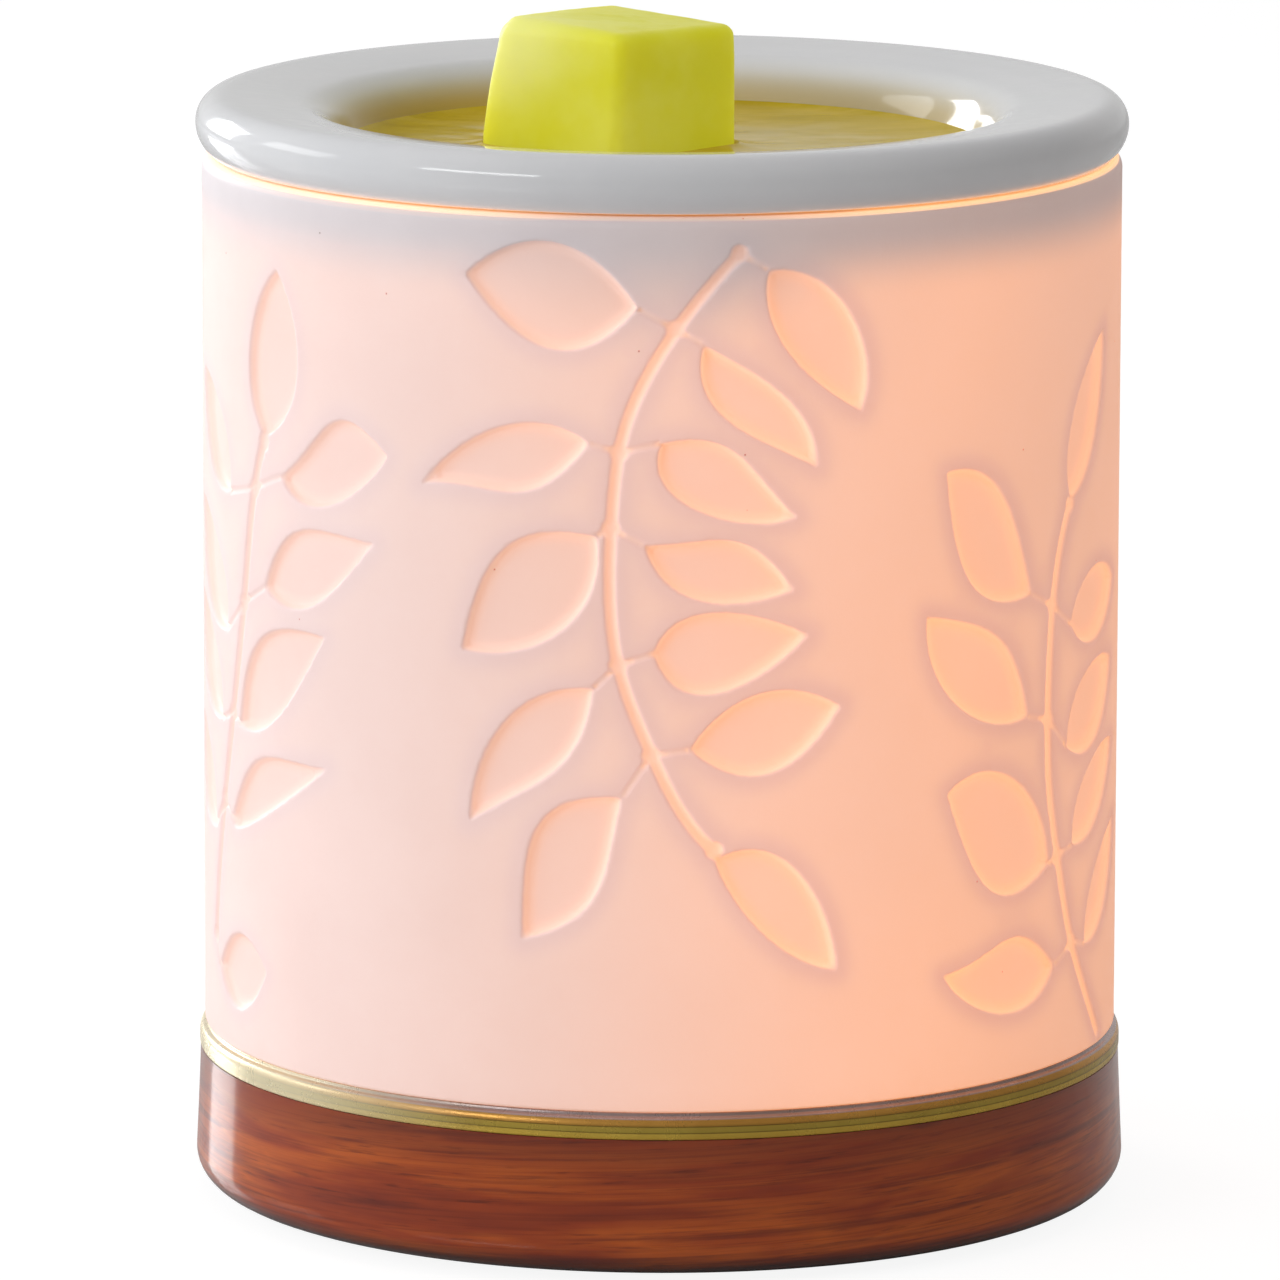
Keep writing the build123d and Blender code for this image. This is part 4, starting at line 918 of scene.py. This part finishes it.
pool_below = [(pool_radius - 0.4, wax_level - 2.4), (37.5, bowl_floor + 1.6), (33.0, wax_low.z)]
pool_points, pool_faces = [], []
for inner, outer in zip(pocket_ring, wall_ring):
    span = (outer - inner).length
    for row in range(pool_rows + 1):
        share = row / pool_rows
        share -= crowding * math.sin(2 * math.pi * share)
        spot = inner.lerp(outer, share)
        near = min(share, 1 - share) * span
        climb = climb_height * math.exp(-near / climb_reach)
        ripple = swirl_height * min(1.0, near / calm_reach) * swirl(spot.x, spot.y)
        top = wax_level - climb_height + climb + ripple
        pool_points.append((spot.x, spot.y, min(top, wax_level)))
    direction = outer.normalized()
    pool_points += [(direction.x * r, direction.y * r, z) for r, z in pool_below]
    pool_points.append((inner.x, inner.y, wax_low.z))
row_size = pool_rows + 1 + len(pool_below) + 1
for k in range(pool_spokes):
    here, there = k * row_size, (k + 1) % pool_spokes * row_size
    for row in range(row_size):
        after = (row + 1) % row_size
        pool_faces.append((here + row, there + row, there + after, here + after))
pool = new_object("wax_pool", pool_points, pool_faces)
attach(pool, "dish")
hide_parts("melted_wax")


# %% Pool material
def pool_material():
    """Melted wax: wet gloss over olive and gold that drift into each other, and a faint painted
    glow.
    """
    material, tree, shader = new_material(
        "Melted wax", IOR=1.44, Specular_IOR_Level=0.18, Emission_Strength=0.16)
    stretched = mapped(object_place(tree), Scale=(0.7, 2.0, 1.0), Rotation=(0.0, 0.0, 0.25))
    drift = cloud(stretched, Scale=24.0, Detail=5.0, Roughness=0.55, Distortion=1.6)
    colour = ramp_node(drift, [
        (0.28, 168, 142, 6), (0.45, 188, 162, 16), (0.6, 202, 176, 66), (0.74, 176, 150, 12)])
    # Painted glow: the pool's colour is also given as a faint emission.
    feed(shader, Base_Color=colour, Emission_Color=colour)
    add_smears(shader, clean=0.10, smeared=0.24, scale=60.0)
    add_grain(shader, scale=500.0, waviness=2.0, depth_mm=0.02)
    return material


dress(pool, pool_material())

# %% [markdown]
# ## The wax cube
# One cube from a bar of wax, cast with slightly leaning sides so that it left its mould. The heat
# has rounded its corners and edges, most at the top of its left side. A fine box is drawn to a
# rounded box whose rounding grows where it melts, and then the faces get the slight hollows that
# cooling leaves.

# %% A melted box
cube_top_side, cube_height = 23.2, 23.4
cold_round, warm_round, foot_edge_round = 1.7, 1.6, 1.2
melt_from = 0.35
top_flatness = 0.85


def cube_net(cells):
    """A box from -1 to 1 with cells by cells faces on each side, as points and faces."""
    built = bmesh.new()
    bmesh.ops.create_cube(built, size=2.0)
    bmesh.ops.subdivide_edges(built, edges=built.edges, cuts=cells - 1, use_grid_fill=True)
    net = [Vector(vertex.co) for vertex in built.verts]
    faces = [[vertex.index for vertex in face.verts] for face in built.faces]
    built.free()
    return net, faces


def clamped(place, low, high):
    """A place drawn into a box."""
    return Vector([max(low[k], min(high[k], place[k])) for k in range(3)])


def melted_point(spot):
    """A point of the box net as a point of the melted cube, from the middle of its foot."""
    rise = (spot.z + 1) / 2
    half = (cube_side + (cube_top_side - cube_side) * rise) / 2
    place = Vector((spot.x * half, spot.y * half, rise * cube_height))
    height_share = float(smoothstep((rise - melt_from) / (1.0 - melt_from)))
    melt = max(0.0, spot.y - spot.x) / 2 * height_share
    edge_round = cold_round + warm_round * melt ** 2
    inner = half - edge_round
    core = clamped(place, (-inner, -inner, foot_edge_round),
                   (inner, inner, cube_height - edge_round * top_flatness))
    push = place - core
    squash = foot_edge_round / edge_round if push.z < 0 else top_flatness
    push.z /= squash
    if push.length > 1e-6:
        push = push.normalized() * edge_round
    push.z *= squash
    return core + push


# %% Cube
cube_low, cube_high = reach_mm("wax_cube")
cube_cells = 40
dimple = 0.004
net, net_faces = cube_net(cube_cells)
cube_points = []
for spot in net:
    local = melted_point(spot)
    dent = noise.fractal(local * 0.09 + Vector((4.0, 1.0, 7.0)), 0.8, 2.0, 3)
    cube_points.append(cube_foot + cube_frame @ (local * (1.0 + dimple * dent)))
cube = new_object("wax_block", cube_points, net_faces)
for vertex in cube.data.vertices:
    vertex.co = clamped(vertex.co / MM, cube_low, cube_high) * MM
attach(cube, "cube")
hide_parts("wax_cube")
print("cube reaches", [round(v, 1) for v in place_mm(cube).max(axis=0)], "mm")


# %% Solid wax material
def wax_material():
    """Half-translucent wax: light spreads inside it, helped by a painted glow, and its skin is a
    soft sheen.
    """
    material, tree, shader = new_material(
        "Solid wax", IOR=1.44, Subsurface_Weight=0.8, Subsurface_Scale=0.012,
        Subsurface_Radius=(1.0, 0.85, 0.25), Specular_IOR_Level=0.35, Emission_Strength=0.45)
    x, y, z = split(object_place(tree))
    # The cube turns paler towards its upper left.
    paler_upper_left = product(range_mm(x, -8, -22), range_mm(z, 145, 157, 0.0, 0.5))
    body = mottled(tree, (192, 190, 36), (202, 202, 84), scale=48.0, amount=0.7)
    colour = mix_colours(paler_upper_left, body, seen(214, 216, 156))
    # Painted glow: the cube's colour is also given as an emission, standing in for light through
    # the wax.
    feed(shader, Base_Color=colour, Emission_Color=colour)
    add_smears(shader, clean=0.34, smeared=0.5, scale=90.0)
    add_grain(shader, scale=900.0, waviness=1.6, depth_mm=0.03)
    return material


dress(cube, wax_material())

# %% [markdown]
# ## The metal ring
# A flat ring of aged brass joins porcelain and wood. It shows as a narrow olive band with a fine
# groove above it. Its bands of colour come from a ramp over its height, and the pale violet band
# at its top is a painted reflection of the shade. Its left side is painted paler, as a highlight
# from the light at the left.

# %% Ring
ring_low, ring_high = reach_mm("trim_ring")
ring_foot, ring_radius = ring_low.z, ring_high.x
ring_bore = 49.5
rim_outer, rim_inner = 57.4, 54.4
rim_edge = 0.2
band_profile = [
    (0.15, 0.0), (0.0, 0.2), (0.0, 1.9), (0.12, 2.35), (0.32, 2.75), (0.7, 2.92), (1.05, 2.98),
    (1.1, 3.5)]
deck = ring_foot + 3.5
ring_outline = [
    (ring_bore, ring_foot), *[(ring_radius - inset, ring_foot + z) for inset, z in band_profile],
    (rim_outer, deck), (rim_outer, ring_high.z - rim_edge), (rim_outer - rim_edge, ring_high.z),
    (rim_inner + rim_edge, ring_high.z), (rim_inner, ring_high.z - rim_edge), (rim_inner, deck),
    (ring_bore, deck)]
ring = turned("olive_ring", relax(divide_evenly(ring_outline, 0.16, closed=True), 2, closed=True))
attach(ring, "root")
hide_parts("trim_ring")


# %% Ring material
def ring_material():
    """Aged brass, olive gold, turned on a lathe and polished."""
    material, tree, shader = new_material("Olive brass", Metallic=0.5, IOR=1.5)
    x, y, z = split(object_place(tree))
    patina = mottled(tree, (255, 250, 226), (232, 222, 190), scale=90.0, amount=0.8)
    # The last stop, a pale violet, is a painted reflection of the shade in the groove at the top.
    bands = ramp_node(range_mm(z, ring_foot, ring_foot + 3.4), [
        (0.0, 206, 178, 76), (0.15, 220, 192, 90), (0.19, 120, 98, 38), (0.24, 186, 166, 76),
        (0.5, 198, 172, 82), (0.545, 120, 98, 42), (0.6, 206, 156, 78), (0.7, 232, 176, 92),
        (0.87, 226, 170, 90), (0.9, 186, 172, 190)])
    colour = mix_colours(1.0, patina, bands, "MULTIPLY")
    # Painted highlight: the left side is mixed towards a pale cream.
    painted_left_highlight = range_mm(x, -20, -56, 0.0, 0.85)
    feed(shader, Base_Color=mix_colours(painted_left_highlight, colour, seen(250, 240, 205)))
    add_smears(shader, clean=0.26, smeared=0.4, scale=120.0)
    add_grain(shader, scale=1400.0, waviness=2.5, depth_mm=0.01)
    return material


dress(ring, ring_material())

# %% [markdown]
# ## The wood base
# The base is turned from a red-brown hardwood with its grain running from left to right, then
# stained and lacquered until it shines. The imported solid already has its hollow, its bosses and
# its cord hole, so it stays, and the work goes into the material: long streaks that follow the
# grain, darker lines of late growth, fine pores, darker wood just under the ring, and painted
# shade along the rounded bottom edge.

# %% Mahogany material
base_low, base_high = reach_mm("wood_base")
grain_slope = math.radians(2.5)


def mahogany_material():
    """Stained hardwood under gloss lacquer, its grain rising a little to the right."""
    material, tree, shader = new_material(
        "Lacquered mahogany", Specular_IOR_Level=0.1, Coat_Weight=0.75, Coat_Roughness=0.1,
        Coat_IOR=1.55)
    place = object_place(tree)
    x, y, z = split(place)
    board = mapped(place, Rotation=(0.0, grain_slope, 0.0))

    def along_grain(scale, flatness, detail, distortion):
        """A noise drawn out along the grain."""
        return cloud(mapped(board, Scale=(1.0, 1.0, flatness)), Scale=scale,
                     Detail=detail, Roughness=0.6, Distortion=distortion)

    broad = along_grain(13.0, 9.0, 4.0, 0.25)
    streak = along_grain(20.0, 26.0, 6.0, 0.25)
    fine = along_grain(24.0, 80.0, 6.0, 0.15)
    pores = along_grain(110.0, 14.0, 3.0, 0.0)
    under_ring = range_mm(z, base_high.z - 7.0, base_high.z)
    colour = ramp_node(broad, [
        (0.28, 122, 42, 22), (0.42, 160, 62, 22), (0.54, 200, 94, 28), (0.64, 168, 66, 24),
        (0.78, 110, 36, 24)])
    for share, dark in (
            (product(range_node(streak, 0.52, 0.66), 0.5), (80, 24, 22)),
            (range_node(fine, 0.46, 0.66, 0.0, 0.34), (96, 34, 16)),
            # Darker just under the ring.
            (product(under_ring, range_node(broad, 0.4, 0.6, 0.2, 0.7)), (72, 24, 30)),
            (range_node(pores, 0.58, 0.72, 0.0, 0.4), (58, 20, 16)),
            # Painted shade: the rounded bottom edge is darkened almost to black.
            (range_mm(z, base_low.z + 0.3, base_low.z + 3.4, 0.9, 0.0), (26, 10, 8))):
        colour = mix_colours(share, colour, seen(*dark))
    feed(shader, Base_Color=colour)
    add_smears(shader, clean=0.3, smeared=0.42, scale=60.0)
    add_bump(shader, math_node("MULTIPLY_ADD", pores, 0.4, streak), 0.05, 0.25)
    return material


dress(frame["nodes"]["wood_base"], mahogany_material())

# %% [markdown]
# ## Fittings, lamp holder and lamp
# What the shade and the base hide was packed at its real size and shape, and keeps it. Each piece
# gets the finish that such a piece is sold in: zinc on the steel, bright brass on what carries
# current, nylon, silicone, woven sleeve and clear glass.

# %% Plain finishes
# Each row: name, colour, tint, size of the mottle, its amount, clean and smeared roughness, size
# of the grain, its depth in millimetres, and how metallic it is.
PLAIN_FINISHES = {
    "black_sheet": ("Black sheet", (34, 34, 36), (46, 45, 46), 70, 0.6, 0.38, 0.55, 1800, 0.02, 0),
    "zinc_steel": (
        "Zinc plate", (176, 178, 182), (150, 154, 160), 160, 0.7, 0.24, 0.42, 2600, 0.008, 1),
    "foot_rubber": ("Black rubber", (26, 26, 28), (38, 38, 40), 120, 0.6, 0.6, 0.78, 3200, 0.04, 0),
    "clear_silicone": (
        "Silicone", (206, 204, 198), (190, 188, 182), 90, 0.5, 0.3, 0.44, 900, 0.02, 0),
    "bush_nylon": ("Nylon", (222, 218, 204), (208, 203, 186), 110, 0.5, 0.34, 0.46, 1500, 0.01, 0),
    "contact_brass": (
        "Bright brass", (214, 178, 96), (184, 146, 70), 150, 0.6, 0.2, 0.38, 2400, 0.008, 1),
    "crimp_tin": (
        "Tinned copper", (196, 194, 190), (170, 166, 160), 200, 0.6, 0.28, 0.44, 2400, 0.01, 1),
    "solder": ("Solder", (176, 176, 178), (146, 146, 150), 400, 0.7, 0.3, 0.5, 1800, 0.03, 1),
    "black_glass": ("Black glass", (22, 18, 24), (34, 28, 36), 200, 0.4, 0.06, 0.14, 900, 0.01, 0),
}


def plain_finish(name, colour, tint, mottle_scale, mottle, clean, smeared, grain_scale,
                 grain_mm, metallic):
    """A finish that needs only mottle, smears and fine grain, such as rubber or sheet metal."""
    material, tree, shader = new_material(name, Metallic=metallic)
    feed(shader, Base_Color=mottled(tree, colour, tint, mottle_scale, mottle))
    add_smears(shader, clean, smeared, mottle_scale)
    add_grain(shader, grain_scale, 0.5, grain_mm)
    return material


finishes = {slot: plain_finish(*row) for slot, row in PLAIN_FINISHES.items()}


# %% Sleeve, glass and filament
def sleeve_material():
    """Woven heat-resisting sleeve: a fine criss-cross over off-white."""
    material, tree, shader = new_material("Woven sleeve", Sheen_Weight=0.3, Roughness=0.8)
    place = object_place(tree)
    threads = []
    for turn in (math.radians(45), math.radians(-45)):
        slant = mapped(place, Rotation=(turn, turn, 0.0))
        bands = add_node(tree, "TexWave", slant, Scale=900.0, Distortion=0.4, Detail=1.0)
        threads.append(bands.outputs["Fac"])
    weave = math_node("MAXIMUM", *threads)
    feed(shader, Base_Color=mix_colours(weave, seen(170, 164, 150), seen(226, 220, 206)))
    add_bump(shader, weave, 0.06)
    return material


def lamp_glass_material():
    """Thin clear glass with a faint warm cast from the lit filament."""
    material, tree, shader = new_material(
        "Lamp glass", Transmission_Weight=1.0, IOR=1.12, Base_Color=(1.0, 0.97, 0.93, 1.0))
    add_smears(shader, clean=0.02, smeared=0.07, scale=70.0)
    return material


def filament_material():
    """Tungsten at work: a coil's fine turns, orange to near white."""
    material, tree, shader = new_material(
        "Lit tungsten", Metallic=1.0, Roughness=0.5, Emission_Strength=6.0)
    turns = add_node(tree, "TexWave", object_place(tree), settings={"bands_direction": "X"},
                     Scale=1400.0).outputs["Fac"]
    feed(shader, Emission_Color=mix_colours(turns, seen(255, 150, 60), seen(255, 226, 150)))
    add_bump(shader, turns, 0.05)
    return material


# %% Dress the hidden pieces
finishes["wire_sleeve"] = sleeve_material()
finishes["lamp_glass"] = lamp_glass_material()
finishes["glazed_porcelain"] = GLAZE
finishes["lamp_wire_metal"] = finishes["zinc_steel"]
for entry in frame["record"]["subparts"]:
    material = finishes.get(entry["material_slot"])
    if material and entry["node"] != "wax_dish":
        dress(frame["nodes"][entry["node"]], material)
dress(frame["nodes"]["lamp_filament"], filament_material())

# %% [markdown]
# ## Camera
# The photograph was taken from about a metre and a half away with a long lens, a little above the
# object. A long lens keeps the upright edges upright and flattens the ellipses of the lip and the
# base, so the camera stands where the real one stood instead of being moved closer.

# %% Camera
image_side = 1280
focal_pixels = 11647.0
sensor_width = 36.0
camera_place = Vector((0.0, -1545.0, 362.3))
camera_pitch, camera_yaw, camera_roll = 0.1841, -0.0018, 0.0027

forward = Vector((math.sin(camera_yaw) * math.cos(camera_pitch),
                  math.cos(camera_yaw) * math.cos(camera_pitch), -math.sin(camera_pitch)))
right = Vector((math.cos(camera_yaw), -math.sin(camera_yaw), 0.0))
up = right.cross(forward)
rolled_right = right * math.cos(camera_roll) + up * math.sin(camera_roll)
rolled_up = up * math.cos(camera_roll) - right * math.sin(camera_roll)
turned_to = Matrix((rolled_right, rolled_up, -forward)).transposed().to_4x4()
camera_data = bpy.data.cameras.new("camera")
camera_data.sensor_width = sensor_width
camera_data.lens = focal_pixels / image_side * sensor_width
camera_data.clip_start, camera_data.clip_end = 0.1, 20.0
camera = bpy.data.objects.new("camera", camera_data)
camera.matrix_world = Matrix.Translation(camera_place * MM) @ turned_to
bpy.context.scene.collection.objects.link(camera)
bpy.context.scene.camera = camera
print("lens", round(camera_data.lens), "mm")

# %% [markdown]
# ## Floor, room and lights
# The object was photographed on white, in a room with its window behind and to the left. A gloss
# shows what it mirrors, so the window and two narrow panes are lights that the glaze, the lacquer
# and the wax mirror. The broad soft lights that fill the room are hidden from reflections: the
# wall beside the window, the far wall, the ceiling, and a weak card at the right. The room itself
# is dim in front and paler behind. The white behind the object is only what the camera sees, and
# in part what a gloss sees. It adds no light, so the pale porcelain keeps its colour.

# %% Floor
WHITE = (1.0, 1.0, 1.0, 1.0)
floor_size = 6000.0
under_feet = -0.02
floor_gloss, floor_shine = 0.5, 0.9


def mix_shaders(share, first, second, output):
    """Mixes two shaders into an output node."""
    mixed = add_node(output.id_data, "MixShader", share, first.outputs[0], second.outputs[0])
    feed(output, Surface=mixed.outputs[0])


def floor_material():
    """A floor that the camera sees as white, with a faint shadow, and that is clear from below."""
    material, tree, shader = new_material("Floor", Roughness=0.12, Emission_Color=WHITE)
    direct = add_node(tree, "LightPath").outputs["Is Camera Ray"]
    gloss = math_node("MULTIPLY_ADD", direct, -floor_gloss, floor_gloss)
    feed(shader, Specular_IOR_Level=gloss,
         Base_Color=mix_colours(direct, (0.7, 0.7, 0.7, 1.0), (0.2, 0.2, 0.2, 1.0)),
         Emission_Strength=product(direct, floor_shine))
    from_below = add_node(tree, "NewGeometry").outputs["Backfacing"]
    mix_shaders(product(from_below, direct), shader,
                add_node(tree, "BsdfTransparent"), tree.nodes["Material Output"])
    return material


corners = [(-1, -1), (1, -1), (1, 1), (-1, 1)]
floor = new_object("floor", [(x * floor_size / 2, y * floor_size / 2, under_feet)
                             for x, y in corners], [(0, 1, 2, 3)])
dress(floor, floor_material())


# %% Room
pale_x, pale_y = -0.5, 0.87
room_front, room_behind = 0.13, 0.30
mirrored_front, mirrored_behind = 0.05, 0.5


def build_world():
    """Dim light in front, pale behind, and white where the camera looks past the object."""
    world = bpy.data.worlds.new("room")
    bpy.context.scene.world = world
    world.use_nodes = True
    tree = world.node_tree
    x, y, z = split(add_node(tree, "TexCoord").outputs["Generated"])
    toward = math_node("MULTIPLY_ADD", x, pale_x, product(y, pale_y))
    room = feed(tree.nodes["Background"], Color=(1.0, 0.985, 0.97, 1.0),
                Strength=range_node(toward, -0.3, 0.7, room_front, room_behind))
    white = add_node(tree, "Background", Color=WHITE, Strength=1.0)
    path = add_node(tree, "LightPath").outputs
    direct = math_node("MAXIMUM", path["Is Camera Ray"], path["Is Transmission Ray"])
    mirrored = product(path["Is Glossy Ray"],
                       range_node(toward, -0.3, 0.9, mirrored_front, mirrored_behind))
    mix_shaders(math_node("MAXIMUM", direct, mirrored), room, white,
                tree.nodes["World Output"])


build_world()
print("room", bpy.context.scene.world.name)

# %% Lights
DAYLIGHT = (0.97, 0.99, 1.0)
aimed_at = Vector((0.0, 0.0, 0.08))


def soft_light(name, place, size, power, colour, mirrored):
    """A rectangular soft light at a place in metres, turned to the object's middle."""
    data = bpy.data.lights.new(name, "AREA")
    data.shape = "RECTANGLE"
    data.size, data.size_y = size
    data.energy = power
    data.color = colour
    made = bpy.data.objects.new(name, data)
    made.location = place
    made.rotation_euler = (aimed_at - Vector(place)).to_track_quat("-Z", "Y").to_euler()
    made.visible_glossy = mirrored
    bpy.context.scene.collection.objects.link(made)
    print(name, power, "W")


soft_light("window", (-1.286, 1.532, 0.52), (0.66, 0.75), 10.5, DAYLIGHT, True)
soft_light("side_pane", (-1.94, 0.484, 0.8), (0.9, 0.5), 2.6, DAYLIGHT, True)
soft_light("front_pane", (-1.45, -1.377, 0.9), (1.1, 0.25), 5.0, DAYLIGHT, True)
soft_light("far_wall", (-1.34, 1.49, 0.9), (1.1, 1.2), 2.5, DAYLIGHT, False)
soft_light("window_wall", (-1.3, -0.45, 0.55), (2.0, 1.2), 12.2, (0.98, 0.99, 1.0), False)
soft_light("ceiling", (0.0, 0.1, 1.5), (1.6, 1.6), 3.7, (1.0, 1.0, 1.0), False)
soft_light("right_card", (1.1, -0.6, 1.0), (0.8, 0.9), 3.6, (1.0, 0.97, 0.94), False)
bpy.context.scene.view_settings.view_transform = "Standard"
